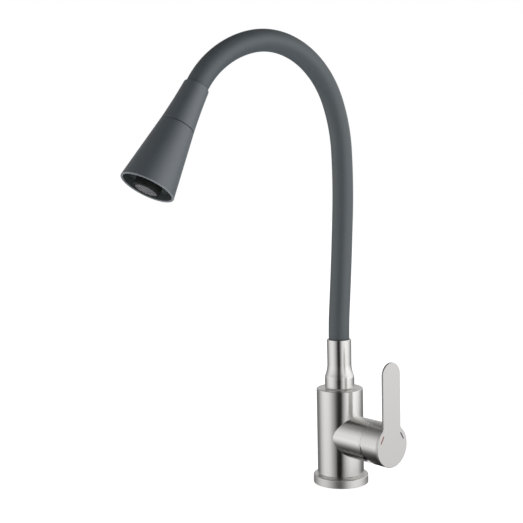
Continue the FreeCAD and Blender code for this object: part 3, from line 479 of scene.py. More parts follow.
def principled(name, group, inputs, bump, depth, **values):
    """Material with a shared effect's colour, roughness and bump; values go to the shader's sockets."""
    material = bpy.data.materials.new(name)
    tree = bare_tree(material)
    effect = add_node(tree, "Group", inputs, node_tree=group)
    height = add_node(tree, "Bump", {
        "Height": effect.outputs["Height"], "Strength": bump, "Distance": depth})
    shader = add_node(tree, "BsdfPrincipled", {
        "Base Color": effect.outputs["Colour"], "Roughness": effect.outputs["Roughness"],
        "Normal": height.outputs["Normal"]})
    for title, value in values.items():
        shader.inputs[title.replace("_", " ")].default_value = value
    add_node(tree, "OutputMaterial", {"Surface": shader.outputs[0]})
    return material, tree, shader


def rgba(value):
    return (value[0], value[1], value[2], 1)


def brushed_metal(
        name, tint, lines, turned_about=None, contrast=0.05, rough=0.26, spread=0.06, stretch=0.9,
        metallic=1.0):
    """Brushed metal; turned_about is the axis that its brush lines go round, or None on a flat piece."""
    material, tree, shader = principled(name, brushed_group(), {
        "Colour": rgba(tint), "Lines": lines, "Contrast": contrast,
        "Roughness": rough, "Roughness spread": spread}, BRUSH_BUMP, BRUSH_DEPTH, Metallic=metallic)
    if turned_about:
        tangent = add_node(tree, "Tangent", direction_type="RADIAL", axis=turned_about)
        tree.links.new(tangent.outputs[0], shader.inputs["Tangent"])
        shader.inputs["Anisotropic"].default_value = stretch
        shader.inputs["Anisotropic Rotation"].default_value = 0.25
    return material


def moulded(name, tint, rough, grain=2500.0, contrast=0.06, spread=0.12, bump=0.08, **values):
    return principled(name, moulded_group(), {
        "Colour": rgba(tint), "Grain": grain, "Contrast": contrast,
        "Roughness": rough, "Roughness spread": spread}, bump, GRAIN_DEPTH, **values)[0]


FINE_LINES = 7000.0
LONG_LINES = 28.0
ROUND_Z = (LONG_LINES, LONG_LINES, FINE_LINES)
ROUND_X = (FINE_LINES, LONG_LINES, LONG_LINES)
ALONG_Z = (LONG_LINES, FINE_LINES, LONG_LINES)


@functools.cache
def finish_of(name):
    """The tap's finishes by name, each made the first time that it is asked for."""
    c = colours()
    metal = functools.partial(functools.partial, brushed_metal, name)
    cast = functools.partial(functools.partial, moulded, name)
    makers = {
        "steel_turned": metal(c.steel, ROUND_Z, "Z", rough=0.22),
        "steel_side": metal(c.steel, ROUND_X, "X", rough=0.20),
        "steel_hub": metal(c.steel, ROUND_X, "X", rough=0.28),
        "steel_flange": metal(c.steel, ROUND_Z, "Z", rough=0.40, stretch=0.2),
        "steel_plate": metal(c.steel, ALONG_Z, contrast=0.03, rough=0.50),
        "steel_back": metal(c.steel, ALONG_Z, contrast=0.03, rough=0.40, metallic=0.2),
        "steel_edge": metal(c.cut_edge, ALONG_Z, contrast=0.08, rough=0.45),
        "polished_steel": metal(c.polished, ROUND_X, contrast=0.02, rough=0.08, spread=0.03),
        "silicone": cast(c.silicone, 0.45, contrast=0.03, Specular_IOR_Level=0.6),
        "head_coating": cast(c.coating, 0.40, grain=4000.0, contrast=0.03, Specular_IOR_Level=1.0),
        "rim_coating": cast(c.rim, 0.40, grain=4000.0, contrast=0.03, Specular_IOR_Level=1.0),
        "recess_plastic": cast(c.recess, 0.5),
        "aerator_plastic": cast(c.aerator, 0.45),
        "honeycomb_plastic": cast(c.honeycomb, 0.35),
        "hot_enamel": cast(c.hot, 0.3, Coat_Weight=0.5),
        "cold_enamel": cast(c.cold, 0.3, Coat_Weight=0.5),
        "turned_brass": metal(c.brass, ROUND_Z, "Z", contrast=0.12, rough=0.25),
        "inner_steel": metal(c.spring_steel, ROUND_X, contrast=0.08, rough=0.3),
        "cartridge_plastic": cast(c.plastic, 0.45),
        "core_plastic": cast(c.core, 0.4),
        "link_plastic": cast(c.link, 0.35),
        "lapped_ceramic": cast(c.ceramic, 0.15, contrast=0.03, bump=0.02),
        "seal_rubber": cast(c.rubber, 0.6),
        "hose_rubber": cast(c.hose, 0.5),
    }
    return makers[name]()


# Deck flange, body tube, side tube and ring

SPIGOT_RADIUS = 16.95 * MM
BODY_MOUTH_RADIUS = 12.35 * MM
CARTRIDGE_HOLE_RADIUS = 17.5 * MM
RING_EDGE_ROUND = 0.1 * MM
BALL_STEPS = 12
CUTTER_START = 0.3
CUTTER_SEGMENTS = 96


def make_flange():
    s = sizes()
    foot = radius_of("deck_flange")
    top = s.flange_height
    seat_top = high_corner("deck_flange").z
    bore = SPIGOT_RADIUS
    groove = top - s.groove_depth
    face = foot - s.flange_round
    side = outline(
        (bore, 0), (foot, 0, s.crisp_round), (foot, top, s.flange_round), (face - s.crisp_round, top),
        (face - s.crisp_round, groove), (bore, groove))
    upper = outline(
        (bore, groove), (face - s.crisp_round, groove), (face - s.crisp_round, top),
        (s.seat_radius + s.groove_width, top), (s.seat_radius + s.groove_width / 2, groove + s.crisp_round),
        (s.seat_radius, groove + s.crisp_round), (s.seat_radius, seat_top), (bore, seat_top))
    for name, chain, finish in (
            ("flange_side", side, "steel_flange"), ("flange_face", upper, "steel_turned")):
        turned_piece(name, chain, finish, "deck_flange", "tap_body")


def make_body_tube():
    s = sizes()
    low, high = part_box("body_shell")
    outer = radius_of("body_shell", 1)
    inner = outer - s.body_wall
    mouth = BODY_MOUTH_RADIUS
    chain = outline(
        (inner, low.z), (outer, low.z, s.body_foot_round), (outer, high.z, s.body_round),
        (mouth, high.z), (mouth, high.z - s.body_top_wall), (inner, high.z - s.body_top_wall))
    piece = turned_piece("body_tube", chain, "steel_turned", "body_shell", "tap_body")
    cut_round_hole(piece, CARTRIDGE_HOLE_RADIUS, outer)


def cut_round_hole(piece, radius, reach):
    """Cuts the hole for the cartridge in the tube's side, along the lever axis."""
    cutter = bpy.data.meshes.new("hole_cutter")
    work = bmesh.new()
    bmesh.ops.create_cone(
        work, cap_ends=True, segments=CUTTER_SEGMENTS, radius1=radius, radius2=radius, depth=reach)
    middle = Matrix.Translation((0, 0, reach * (0.5 + CUTTER_START)))
    work.transform(on_lever_axis() @ middle)
    work.to_mesh(cutter)
    work.free()
    tool = add_object("hole_cutter", cutter)
    cut = piece.modifiers.new("cartridge_hole", "BOOLEAN")
    cut.object = tool
    cut.operation = "DIFFERENCE"
    cut.solver = "EXACT"
    bpy.context.view_layer.update()
    done = bpy.data.meshes.new_from_object(piece.evaluated_get(bpy.context.evaluated_depsgraph_get()))
    piece.modifiers.clear()
    piece.data = done
    bpy.data.objects.remove(tool)
    bpy.data.meshes.remove(cutter)


def make_side_housing():
    s = sizes()
    outer = radius_of("side_housing", 1)
    inner = outer - s.housing_wall
    end = high_corner("side_housing").x
    body = radius_of("body_shell", 1)
    start = body / 2

    def saddle(point):
        """Moves the inner end onto the body tube; a point's X lies across the lever axis and Y along it."""
        share = (end - point.z) / (end - start)
        across = point.y
        meets = math.sqrt(max(body ** 2 - across ** 2, 0))
        return Vector((point.x, point.y, end - share * (end - meets)))

    chain = outline((inner, start), (outer, start), (outer, end, s.crisp_round), (inner, end))
    turned_piece("side_tube", chain, "steel_side", "side_housing", "tap_body",
                 on_lever_axis(), saddle)


def make_ring():
    """Polished ring between side tube and lever: a thin flange and the ball inside the lever's cup."""
    s = sizes()
    low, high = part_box("cover_ring")
    pivot = next(joint for joint in frame["joints"] if joint["name"] == "lever_turn")["pos_m"][0]
    edge = low.x + s.ring_flange
    ball_start = math.degrees(math.asin((edge - pivot) / s.ring_ball))
    ball_end = math.degrees(math.asin((high.x - pivot) / s.ring_ball))
    ball = arc_points((0, pivot), s.ring_ball, ball_start, ball_end, BALL_STEPS)
    chain = outline(
        (s.ring_bore, low.x), (s.ring_radius, low.x), (s.ring_radius, edge, RING_EDGE_ROUND), ball,
        (s.ring_bore, high.x))
    turned_piece("polished_ring", chain, "polished_steel", "cover_ring", "tap_body",
                 on_lever_axis())


def keep_node(node, finish):
    """A CAD node whose shape is right keeps it and gets its own finish."""
    mesh = frame["nodes"][node].data
    mesh.materials.clear()
    mesh.materials.append(finish_of(finish))


class TAP_OT_body(bpy.types.Operator):
    """Deck flange, body tube, side tube and the polished ring"""
    bl_idname = "tap.body"
    bl_label = "Body"

    def execute(self, context):
        make_flange()
        make_body_tube()
        make_side_housing()
        make_ring()
        return {"FINISHED"}


# Lever

HUB_SLANT_DEGREES = 22.5
MARK_ANGLE = 31.0
HUB_SEAM_CLOSED = 0.35 * MM
HUB_SEAM_FADE = 4.0 * MM
AXIS_HOLE = 0.1 * MM
EDGE_STEPS = 5
MARK_END_STEPS = 8
BLADE_FILLET_STEPS = 8
BLADE_TOP_STEPS = 40
DISC_STEPS = 120


def make_hub():
    s = sizes()
    outer = radius_of("lever_hub", 1)
    inner = outer - s.hub_wall
    rear = low_corner("lever_hub").x
    front = low_corner("lever_blade").x
    slant = math.tan(math.radians(HUB_SLANT_DEGREES))

    def cut_rear(point):
        """Leans the rear edge forward below the axis and closes the seam above it; X will point down."""
        share = (front - point.z) / (front - rear)
        closer = HUB_SEAM_CLOSED * min(max(-point.x / HUB_SEAM_FADE, 0), 1)
        return Vector((point.x, point.y, point.z + share * (max(point.x, 0) * slant - closer)))

    chain = outline(
        (AXIS_HOLE, front - s.hub_floor), (inner, front - s.hub_floor), (inner, rear, s.crisp_round),
        (outer, rear, s.crisp_round), (outer, front), (AXIS_HOLE, front), steps=3)
    turned_piece("lever_cup", chain, "steel_hub", "lever_hub", "lever",
                 on_lever_axis(), cut_rear)


def blade_points():
    """Outline of the face plate as (point, outward normal) from the lever axis, anticlockwise from +X."""
    s = sizes()
    disc = radius_of("lever_blade", 1)
    half = s.blade_half
    fillet = s.blade_fillet
    top = high_corner("lever_blade").z - LEVER_AXIS_Z - half
    fillet_up = math.sqrt((disc + fillet) ** 2 - (half + fillet) ** 2)
    meet = math.atan2(fillet_up, half + fillet)
    found = []

    def arc(centre, radius, start, end, steps, inward=1):
        for i in range(steps + 1):
            angle = start + (end - start) * i / steps
            out = Vector((math.cos(angle), math.sin(angle)))
            found.append((Vector(centre) + out * radius, out * inward))

    arc((half + fillet, fillet_up), fillet, math.pi + meet, math.pi, BLADE_FILLET_STEPS, -1)
    arc((0, top), half, 0, math.pi, BLADE_TOP_STEPS)
    arc((-half - fillet, fillet_up), fillet, 0, -meet, BLADE_FILLET_STEPS, -1)
    arc((0, 0), disc, math.pi - meet, 2 * math.pi + meet, DISC_STEPS)
    return found[:-1]


def mark_points(side):
    """Outline of a temperature mark's pocket, anticlockwise from +X; side -1 is hot and 1 is cold."""
    s = sizes()
    half = s.mark_width / 2
    straight = s.mark_length / 2 - half
    angle = math.radians(MARK_ANGLE)
    out = Vector((side * math.cos(angle), math.sin(angle)))
    along = Vector((out.y, -out.x))
    found = []
    for centre, start in ((straight, -90), (-straight, 90)):
        for i in range(MARK_END_STEPS + 1):
            turn = math.radians(start + 180 * i / MARK_END_STEPS)
            away = s.mark_radius + half * math.sin(turn)
            found.append(out * away + along * (centre + half * math.cos(turn)))
    return found


def make_face_plate():
    """Face plate with a rounded front edge and a pocket for each temperature mark."""
    s = sizes()
    rear = low_corner("lever_blade").x
    face = high_corner("lever_blade").x
    rim = blade_points()
    edge = s.blade_round
    levels = [(edge / 2, rear, -math.pi / 2), (0.0, rear + edge / 2, 0.0), (0.0, face - edge, 0.0)]
    for i in range(1, EDGE_STEPS + 1):
        turn = math.radians(90 * i / EDGE_STEPS)
        levels.append((edge * (1 - math.cos(turn)), face - edge * (1 - math.sin(turn)), turn))
    verts, faces, normals = [], [], []

    def place(flat, x):
        return Vector((x, flat.x, LEVER_AXIS_Z + flat.y))

    def leaning(out, turn):
        return Vector((math.sin(turn), out.x * math.cos(turn), out.y * math.cos(turn)))

    count = len(rim)
    for inset, x, turn in levels:
        verts.extend(place(point - out * inset, x) for point, out in rim)
    for level in range(len(levels) - 1):
        for k in range(count):
            after = (k + 1) % count
            base = level * count
            faces.append((base + k, base + after, base + count + after, base + count + k))
            low, high = levels[level][2], levels[level + 1][2]
            if level == 0:
                low = high = -math.pi / 4
            normals.append((leaning(rim[k][1], low), leaning(rim[after][1], low),
                            leaning(rim[after][1], high), leaning(rim[k][1], high)))
    faces.append(tuple(reversed(range(count))))
    normals.append([Vector((-1, 0, 0))] * count)

    last = (len(levels) - 1) * count
    loops = [range(last, last + count)]
    for side in (-1, 1):
        pocket = mark_points(side)
        start, total = len(verts), len(pocket)
        verts.extend(place(point, x) for x in (face, face - s.mark_depth) for point in pocket)
        loops.append(range(start, start + total))
        for k in range(total):
            after = (k + 1) % total
            quad = (start + k, start + after, start + total + after, start + total + k)
            a, b, c = (verts[i] for i in quad[:3])
            faces.append(quad)
            normals.append([(b - a).cross(c - b).normalized()] * 4)
        faces.append(tuple(range(start + total, start + 2 * total)))
        normals.append([Vector((1, 0, 0))] * total)
    work = bmesh.new()
    index = {}
    for loop in loops:
        ring = [work.verts.new(verts[number]) for number in loop]
        index.update(zip(ring, loop))
        for pair in zip(ring, ring[1:] + ring[:1]):
            work.edges.new(pair)
    made = bmesh.ops.triangle_fill(work, use_beauty=True, use_dissolve=False, edges=work.edges[:])
    for item in made["geom"]:
        if isinstance(item, bmesh.types.BMFace):
            item.normal_update()
            corners = [index[vert] for vert in item.verts]
            faces.append(tuple(corners if item.normal.x > 0 else reversed(corners)))
            normals.append([Vector((1, 0, 0))] * 3)
    work.free()
    piece = new_piece("lever_plate", verts, faces, normals, finish_of("steel_plate"))
    piece.data.materials.append(finish_of("steel_edge"))
    piece.data.materials.append(finish_of("steel_back"))
    piece.data.polygons[(len(levels) - 1) * count].material_index = 2
    # Painted shade: the back bevel and side walls above the marks take the dark edge finish
    for polygon in piece.data.polygons[:2 * count]:
        polygon.material_index = 1 if polygon.center.z > LEVER_AXIS_Z + s.mark_radius else 0
    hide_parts("lever_blade")
    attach(piece, "lever")


class TAP_OT_lever(bpy.types.Operator):
    """Lever cup, face plate and the two temperature marks"""
    bl_idname = "tap.lever"
    bl_label = "Lever"

    def execute(self, context):
        make_hub()
        make_face_plate()
        keep_node("hot_mark", "hot_enamel")
        keep_node("cold_mark", "cold_enamel")
        return {"FINISHED"}


# Steel sleeve

def flare(low, high, convex, steps=10):
    """Points of two tangent arcs from a vertical line at low to one at high, bulging out and then in."""
    drop = low[0] - high[0]
    rise = high[1] - low[1]
    concave = (drop ** 2 + rise ** 2) / (2 * drop) - convex
    turn = math.degrees(math.asin(rise / (convex + concave)))
    lower = arc_points((low[0] - convex, low[1]), convex, 0, turn, steps)
    upper = arc_points((high[0] + concave, high[1]), concave, 180 + turn, 180, steps * 2)
    return lower + upper[1:]


class TAP_OT_sleeve(bpy.types.Operator):
    """Brushed sleeve that swivels on the body and holds the neck"""
    bl_idname = "tap.sleeve"
    bl_label = "Steel sleeve"

    def execute(self, context):
        s = sizes()
        low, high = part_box("spout_sleeve")
        foot = radius_of("spout_sleeve")
        foot_end = low.z + s.sleeve_foot_height
        waist_z = foot_end + s.sleeve_flare_height
        bore = s.neck_radius + s.seam_gap
        inner_foot = foot - s.sleeve_wall
        outer = flare((foot, foot_end), (s.sleeve_waist_radius, waist_z), s.sleeve_convex)
        inner = flare((inner_foot, foot_end), (bore, waist_z), s.sleeve_convex - s.sleeve_wall)
        chain = outline(
            (inner_foot, low.z), (foot, low.z, s.crisp_round), outer,
            (s.sleeve_top_radius, high.z, s.sleeve_round), (bore, high.z, s.crisp_round), inner[::-1])
        turned_piece(
            "steel_sleeve", chain, "steel_turned", "spout_sleeve", "spout_base")
        return {"FINISHED"}


# Neck

RINGS_PER_SEGMENT = 16
SLEEVE_DEPTH = 25.1 * MM
HOSE_DEPTH = 36.7 * MM
HOSE_REACH = 32.0 * MM


def neck_segment(name, outer, inner, start, end, finish):
    """Stretch of hollow tube along the neck between two distances."""
    around = studio().segments // 2
    count = max(2, round((end - start) / SEGMENT * RINGS_PER_SEGMENT))
    verts, faces, normals = [], [], []
    places = [neck_matrix(start + (end - start) * i / count) for i in range(count + 1)]
    turns = [2 * math.pi * k / around for k in range(around)]

    def out(place, turn):
        return place.to_3x3() @ Vector((math.cos(turn), math.sin(turn), 0))

    for radius in (outer, inner):
        for place in places:
            verts.extend(place.translation + out(place, turn) * radius for turn in turns)
    wall = (count + 1) * around
    for i in range(count):
        for k in range(around):
            after = (k + 1) % around
            low, high = i * around, (i + 1) * around
            quad = (low + k, low + after, high + after, high + k)
            around_normals = [
                out(places[i + up], turns[at]) for up, at in ((0, k), (0, after), (1, after), (1, k))]
            faces.append(quad)
            normals.append(around_normals)
            faces.append(tuple(wall + n for n in reversed(quad)))
            normals.append([-n for n in reversed(around_normals)])
    for ring, sign in ((0, -1), (count, 1)):
        facing = places[ring].to_3x3() @ Vector((0, 0, sign))
        for k in range(around):
            after = (k + 1) % around
            quad = [ring * around + k, ring * around + after,
                    wall + ring * around + after, wall + ring * around + k]
            faces.append(tuple(quad if sign > 0 else reversed(quad)))
            normals.append([facing] * 4)
    return new_piece(name, verts, faces, normals, finish_of(finish))


def make_tube(label, outer, inner, before, beyond, finish, node):
    """Tube along the whole neck, one stretch for each joint of the neck."""
    joints = len(NECK_BODIES) - 1
    for j in range(joints):
        start = -before if j == 0 else j * SEGMENT
        end = NECK_LENGTH + beyond if j == joints - 1 else (j + 1) * SEGMENT
        piece = neck_segment("%s_%d" % (label, j + 1), outer, inner, start, end, finish)
        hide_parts(node)
        neck_matrix(j * SEGMENT).translation
        neck_matrix((j + 1) * SEGMENT).translation
        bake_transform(piece)


class TAP_OT_neck(bpy.types.Operator):
    """Silicone neck and the hose inside it, made in one stretch for each joint"""
    bl_idname = "tap.neck"
    bl_label = "Neck"

    def execute(self, context):
        s = sizes()
        make_tube("silicone_neck", s.neck_radius, s.neck_radius - s.neck_wall, SLEEVE_DEPTH, s.neck_tuck,
                  "silicone", "silicone_sleeve")
        make_tube("inner_hose", s.hose_radius, s.hose_radius - s.hose_wall, HOSE_DEPTH, HOSE_REACH,
                  "hose_rubber", "water_hose")
        return {"FINISHED"}


# Spray head

COLLAR_STOP_DEPTH = 6.4 * MM
COLLAR_STOP_END = 8.9 * MM
COLLAR_STOP_RADIUS = 8.4 * MM
CORE_RADIUS = 10.25 * MM
CORE_FLANGE_RADIUS = 12.95 * MM
CORE_FLANGE_DEPTH = 1.4 * MM
COLLAR_FLARE_SLOPE = 0.058
WEB_LENGTH = 11.0 * MM
WEB_BORE = 10.28 * MM
RIM_SHARE = 0.9
FLANK_STEPS = 24


def head_matrix():
    return neck_matrix(NECK_LENGTH)


def cone_radius(place):
    s = sizes()
    slope = (s.mouth_radius - s.seam_radius) / (s.head_length - s.seam_place)
    return s.seam_radius + slope * (place - s.seam_place)


def make_collar():
    s = sizes()
    end = s.seam_place - s.seam_gap / 2
    foot = cone_radius(end)
    bow = foot - s.collar_radius - COLLAR_FLARE_SLOPE * end
    flank = []
    for i in range(FLANK_STEPS + 1):
        place = s.mouth_round + (end - s.seam_round - s.mouth_round) * i / FLANK_STEPS
        flank.append((s.collar_radius + COLLAR_FLARE_SLOPE * place + bow * (place / end) ** 2, place))
    bore = s.neck_radius + s.seam_gap
    chain = outline(
        (bore, 0, s.crisp_round), (bore, COLLAR_STOP_DEPTH), (COLLAR_STOP_RADIUS, COLLAR_STOP_DEPTH),
        (COLLAR_STOP_RADIUS, COLLAR_STOP_END), (CORE_RADIUS, COLLAR_STOP_END),
        (CORE_RADIUS, end - CORE_FLANGE_DEPTH), (CORE_FLANGE_RADIUS, end - CORE_FLANGE_DEPTH),
        (CORE_FLANGE_RADIUS, end), (foot, end, s.seam_round), flank[::-1],
        (s.collar_radius, 0, s.mouth_round))
    turned_piece("head_upper_cone", mirrored(chain), "head_coating", "head_collar", "spray_head",
                 head_matrix())


def mirrored(chain):
    """Turns a chain that was run clockwise into an anticlockwise one."""
    return [[(point, -normal) for point, normal in reversed(stretch)] for stretch in reversed(chain)]


def make_cone():
    s = sizes()
    start = s.seam_place + s.seam_gap / 2
    end = s.head_length
    web_end = start + WEB_LENGTH
    lip = end - s.mouth_round
    wall = s.head_wall
    shell = outline(
        (WEB_BORE, start), (cone_radius(start), start, s.seam_round), (cone_radius(lip), lip),
        (cone_radius(lip) - wall / 2, lip), (cone_radius(web_end) - wall / 2, web_end), (WEB_BORE, web_end))
    # Painted shade: the cone's inner wall next to the mouth takes the dark recess colour
    painted_shade_band = outline(
        (cone_radius(web_end) - wall, web_end), (cone_radius(web_end) - wall / 2, web_end),
        (cone_radius(lip) - wall / 2, lip), (cone_radius(lip) - wall, lip))
    # Painted highlight: the mouth's rim takes the lighter rim coating
    soft = RIM_SHARE * s.mouth_round
    rim = outline(
        (cone_radius(lip) - wall, lip), (cone_radius(lip), lip), (cone_radius(end), end, soft),
        (cone_radius(end) - wall, end, soft))
    for name, chain, finish in (("head_lower_cone", shell, "head_coating"),
                                ("head_mouth_painted_shade", painted_shade_band, "recess_plastic"),
                                ("head_mouth_rim", rim, "rim_coating")):
        turned_piece(name, chain, finish, "head_cone", "spray_cone", head_matrix())


class TAP_OT_head(bpy.types.Operator):
    """Spray head's two cones and its mouth"""
    bl_idname = "tap.head"
    bl_label = "Spray head"

    def execute(self, context):
        make_collar()
        make_cone()
        keep_node("spray_plate", "recess_plastic")
        keep_node("aerator_housing", "aerator_plastic")
        keep_node("aerator_insert", "honeycomb_plastic")
        return {"FINISHED"}


# Pieces that the shells hide

INNER_FINISHES = {
    "turned_brass": ("valve_block", "cartridge_nut", "swivel_spigot", "neck_base_fitting", "neck_head_fitting"),
    "inner_steel": ("pivot_pin", "spindle", "lever_grub_screw", "swivel_clip", "head_clip", "base_hose_ferrule",
                    "head_hose_ferrule", "hose_tail", "aerator_screens"),
    "cartridge_plastic": ("cartridge_base", "disc_carrier", "cartridge_shell", "cartridge_rotor", "swivel_bush"),
    "core_plastic": ("head_core", "mode_rotor"),
    "lapped_ceramic": ("fixed_ceramic_disc", "moving_ceramic_disc"),
    "seal_rubber": ("deck_seal", "port_seals", "swivel_o_rings", "core_o_rings", "head_washer", "aerator_seal"),
}


class TAP_OT_inner(bpy.types.Operator):
    """Finishes of the valve, the swivel, the neck's links and the head's core"""
    bl_idname = "tap.inner"
    bl_label = "Inner pieces"

    def execute(self, context):
        for finish, nodes in INNER_FINISHES.items():
            for node in nodes:
                keep_node(node, finish)
        for node in frame["nodes"]:
            if node.startswith("neck_links"):
                keep_node(node, "link_plastic")
        return {"FINISHED"}


# Studio

def direction(azimuth, elevation):
    """Unit vector from the tap: azimuth 0 is -Y and 90 is +X, in degrees."""
    a, e = math.radians(azimuth), math.radians(elevation)
    return Vector((math.sin(a) * math.cos(e), -math.cos(a) * math.cos(e), math.sin(e)))


# Tone of the walls that gloss shows, by heading in degrees, below the horizon and above it: a dark gap
# at the camera and a wide soft light on each side
LOW_TONES = (
    (-180, 0.20), (-120, 0.20), (-105, 0.23), (-90, 0.23), (-77, 0.42), (-60, 0.83), (-45, 1.10), (-34, 1.20),
    (-20, 1.20), (-8, 1.09), (3, 0.80), (15, 0.51), (23, 0.30), (28, 0.116), (33, 0.03), (49, 0.014),
    (53, 0.098), (58, 0.333), (68, 0.78), (80, 1.20), (100, 1.47), (117, 1.33), (129, 1.26), (143, 1.06),
    (155, 0.73), (168, 0.43), (180, 0.20))
HIGH_TONES = (
    (-180, 1.0), (-160, 0.7), (-135, 0.55), (-105, 0.35), (-80, 0.5), (-60, 0.85), (-45, 1.0), (-20, 1.0),
    (0, 0.8), (20, 0.4), (33, 0.06), (49, 0.06), (60, 0.5), (80, 1.1), (100, 1.4), (150, 1.3), (180, 1.0))
# Share of those tones by elevation in degrees
HEIGHT_SHARES = (
    (-90, 0.03), (-50, 0.05), (-42, 0.10), (-34, 0.23), (-27, 0.45), (-19, 0.75), (-8, 1.0), (14, 1.0),
    (30, 0.75), (39, 0.46), (47, 0.30), (60, 0.20), (90, 0.18))
# Brightness of the sky that matt surfaces see, by elevation
SKY_TONES = ((-90, 0.9), (0, 0.9), (20, 0.8), (45, 0.55), (90, 0.4))
# Share of that sky by heading: darker on the camera's side
SKY_SIDES = ((-180, 1.3), (-90, 1.25), (-25, 1.0), (15, 0.55), (75, 0.55), (115, 1.0), (180, 1.3))
# Elevations between which the low walls give way to the high ones
HORIZON = (-9, 3)
BRIGHTEST = 1.5


def seen_white(tree):
    """Masks of the rays that show the background, seen, off gloss or through glass, and of gloss alone."""
    path = add_node(tree, "LightPath")
    straight = math_node(tree, "MAXIMUM", path.outputs["Is Camera Ray"], path.outputs["Is Transmission Ray"])
    by_gloss = path.outputs["Is Glossy Ray"]
    return math_node(tree, "MAXIMUM", straight, by_gloss), by_gloss


def tone_ramp(tree, value, stops):
    """Ramp of greys; a stop is a place from 0 to 1 and a tone up to BRIGHTEST."""
    node = add_node(tree, "ValToRGB", {"Fac": value})
    ramp = node.color_ramp
    for k, (place, tone) in enumerate(stops):
        stop = ramp.elements[k] if k < 2 else ramp.elements.new(place)
        stop.position = place
        stop.color = (tone / BRIGHTEST,) * 3 + (1,)
    return math_node(tree, "MULTIPLY", node.outputs["Color"], BRIGHTEST)


def make_world():
    """White for the camera, walls with soft lights for gloss and an even sky for matt surfaces."""
    world = bpy.data.worlds.new("studio_world")
    bpy.context.scene.world = world
    tree = bare_tree(world)
    toward = add_node(tree, "TexCoord").outputs["Generated"]
    axes = add_node(tree, "SeparateXYZ", {"Vector": toward})
    back = math_node(tree, "MULTIPLY", axes.outputs["Y"], -1.0)
    heading = math_node(tree, "ARCTAN2", axes.outputs["X"], back)
    around = math_node(tree, "ADD", math_node(tree, "DIVIDE", heading, 2 * math.pi), 0.5)
    rise = math_node(tree, "ADD", math_node(tree, "MULTIPLY", axes.outputs["Z"], 0.5), 0.5)

    def by_elevation(stops):
        return tone_ramp(tree, rise, [(math.sin(math.radians(e)) / 2 + 0.5, tone) for e, tone in stops])

    def by_heading(stops):
        return tone_ramp(tree, around, [(azimuth / 360 + 0.5, tone) for azimuth, tone in stops])

    above = by_elevation([(HORIZON[0], 0), (HORIZON[1], 1)])
    walls = mix_value(tree, above, by_heading(LOW_TONES), by_heading(HIGH_TONES))
    gloss = math_node(tree, "MULTIPLY", walls, by_elevation(HEIGHT_SHARES))
    sky = math_node(tree, "MULTIPLY", math_node(
        tree, "MULTIPLY", by_elevation(SKY_TONES), by_heading(SKY_SIDES)), studio().fill)
    seen, by_gloss = seen_white(tree)
    shown = mix_value(tree, by_gloss, 1.0, gloss)
    strength = mix_value(tree, seen, sky, shown)
    light = add_node(tree, "Background", {"Color": (1, 1, 1, 1), "Strength": strength})
    add_node(tree, "OutputWorld", {"Surface": light.outputs[0]})


FLOOR_SEEN = 0.70
FLOOR_GLOW = 1.15
FLOOR_HALF = 6.0


def make_floor():
    """White floor that keeps the tap's shadow; gloss shows the walls instead of it."""
    half = FLOOR_HALF
    mesh = bpy.data.meshes.new("studio_floor")
    corners = [(-half, -half, 0), (half, -half, 0), (half, half, 0), (-half, half, 0)]
    mesh.from_pydata(corners, [], [(0, 1, 2, 3)])
    material = bpy.data.materials.new("floor_paper")
    tree = bare_tree(material)
    paper = add_node(tree, "BsdfDiffuse", {"Color": rgba(colours().floor)})
    lift = mix_value(tree, seen_white(tree)[0], FLOOR_GLOW, FLOOR_SEEN)
    glow = add_node(tree, "Emission", {"Color": (1, 1, 1, 1), "Strength": lift})
    both = add_node(tree, "AddShader", {0: paper.outputs[0], 1: glow.outputs[0]})
    add_node(tree, "OutputMaterial", {"Surface": both.outputs[0]})
    mesh.materials.append(material)
    floor = add_object("studio_floor", mesh)
    floor.visible_glossy = False


SOFTBOX_DISTANCE = 1.6
SOFTBOX_WIDTH = 1.2
SOFTBOX_HEIGHT = 1.6
SOFTBOX_AIM = (0, -0.1, 0.2)


def softbox(name, azimuth, elevation, power):
    """Rectangular lamp that faces the tap from a heading and elevation in degrees."""
    lamp = bpy.data.lights.new(name, "AREA")
    lamp.shape = "RECTANGLE"
    lamp.size = SOFTBOX_WIDTH
    lamp.size_y = SOFTBOX_HEIGHT
    lamp.energy = power
    holder = add_object(name, lamp)
    aim = Vector(SOFTBOX_AIM)
    holder.location = aim + direction(azimuth, elevation) * SOFTBOX_DISTANCE
    holder.rotation_mode = "QUATERNION"
    holder.rotation_quaternion = (aim - holder.location).to_track_quat("-Z", "Y")
    holder.visible_glossy = False


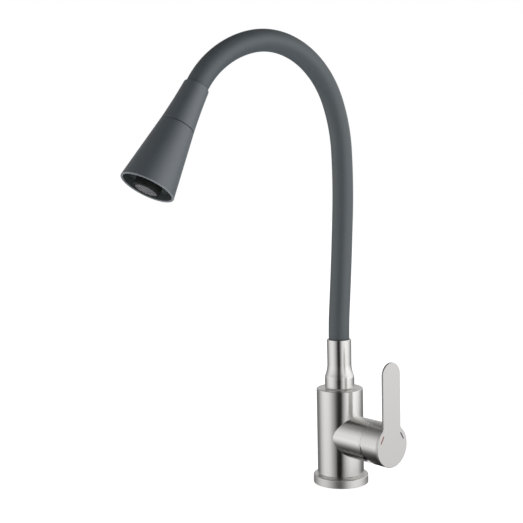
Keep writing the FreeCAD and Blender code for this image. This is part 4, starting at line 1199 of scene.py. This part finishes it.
def make_camera():
    """Camera where the photograph was taken from: its heading, distance and height, then its own turns."""
    t = studio()
    data = bpy.data.cameras.new("photo_camera")
    data.sensor_width = 36.0
    data.lens = t.lens
    data.clip_start = 0.01
    data.clip_end = 50.0
    camera = add_object("photo_camera", data)
    place = direction(t.azimuth, 0) * t.distance + Vector((0, 0, t.height))
    camera.matrix_world = (
        Matrix.Translation(place) @ Matrix.Rotation(math.radians(t.azimuth + t.yaw), 4, "Z")
        @ Matrix.Rotation(math.radians(90 + t.pitch), 4, "X") @ Matrix.Rotation(math.radians(t.roll), 4, "Z"))
    bpy.context.scene.camera = camera


class TAP_OT_stage(bpy.types.Operator):
    """Camera, floor, walls of light and softboxes"""
    bl_idname = "tap.stage"
    bl_label = "Studio"

    def execute(self, context):
        t = studio()
        context.scene.view_settings.view_transform = "Standard"
        make_camera()
        make_world()
        make_floor()
        softbox("softbox_right", 118, 5, t.key)
        softbox("softbox_left", -45, 8, t.side)
        return {"FINISHED"}


GROUPS = {"tap_sizes": TapSizes, "tap_colours": TapColours, "tap_studio": TapStudio}
STEPS = (TAP_OT_stage, TAP_OT_body, TAP_OT_lever, TAP_OT_sleeve, TAP_OT_neck, TAP_OT_head, TAP_OT_inner)


class TAP_PT_panel(bpy.types.Panel):
    """Lists the tap's pieces in build order"""
    bl_idname = "TAP_PT_panel"
    bl_label = "Kitchen mixer tap"
    bl_space_type = "VIEW_3D"
    bl_region_type = "UI"
    bl_category = "Tap"

    def draw(self, context):
        for step in STEPS:
            self.layout.operator(step.bl_idname)
        for group, kind in GROUPS.items():
            box = self.layout.box()
            for name in kind.__annotations__:
                box.prop(getattr(context.scene, group), name)


CLASSES = tuple(GROUPS.values()) + STEPS + (TAP_PT_panel,)


def register():
    for item in CLASSES:
        bpy.utils.register_class(item)
    for group, kind in GROUPS.items():
        setattr(bpy.types.Scene, group, PointerProperty(type=kind))


def unregister():
    for group in GROUPS:
        delattr(bpy.types.Scene, group)
    for item in reversed(CLASSES):
        bpy.utils.unregister_class(item)


def main():
    register()
    for step in STEPS:
        group, name = step.bl_idname.split(".")
        getattr(getattr(bpy.ops, group), name)()


if __name__ == "__main__":
    main()
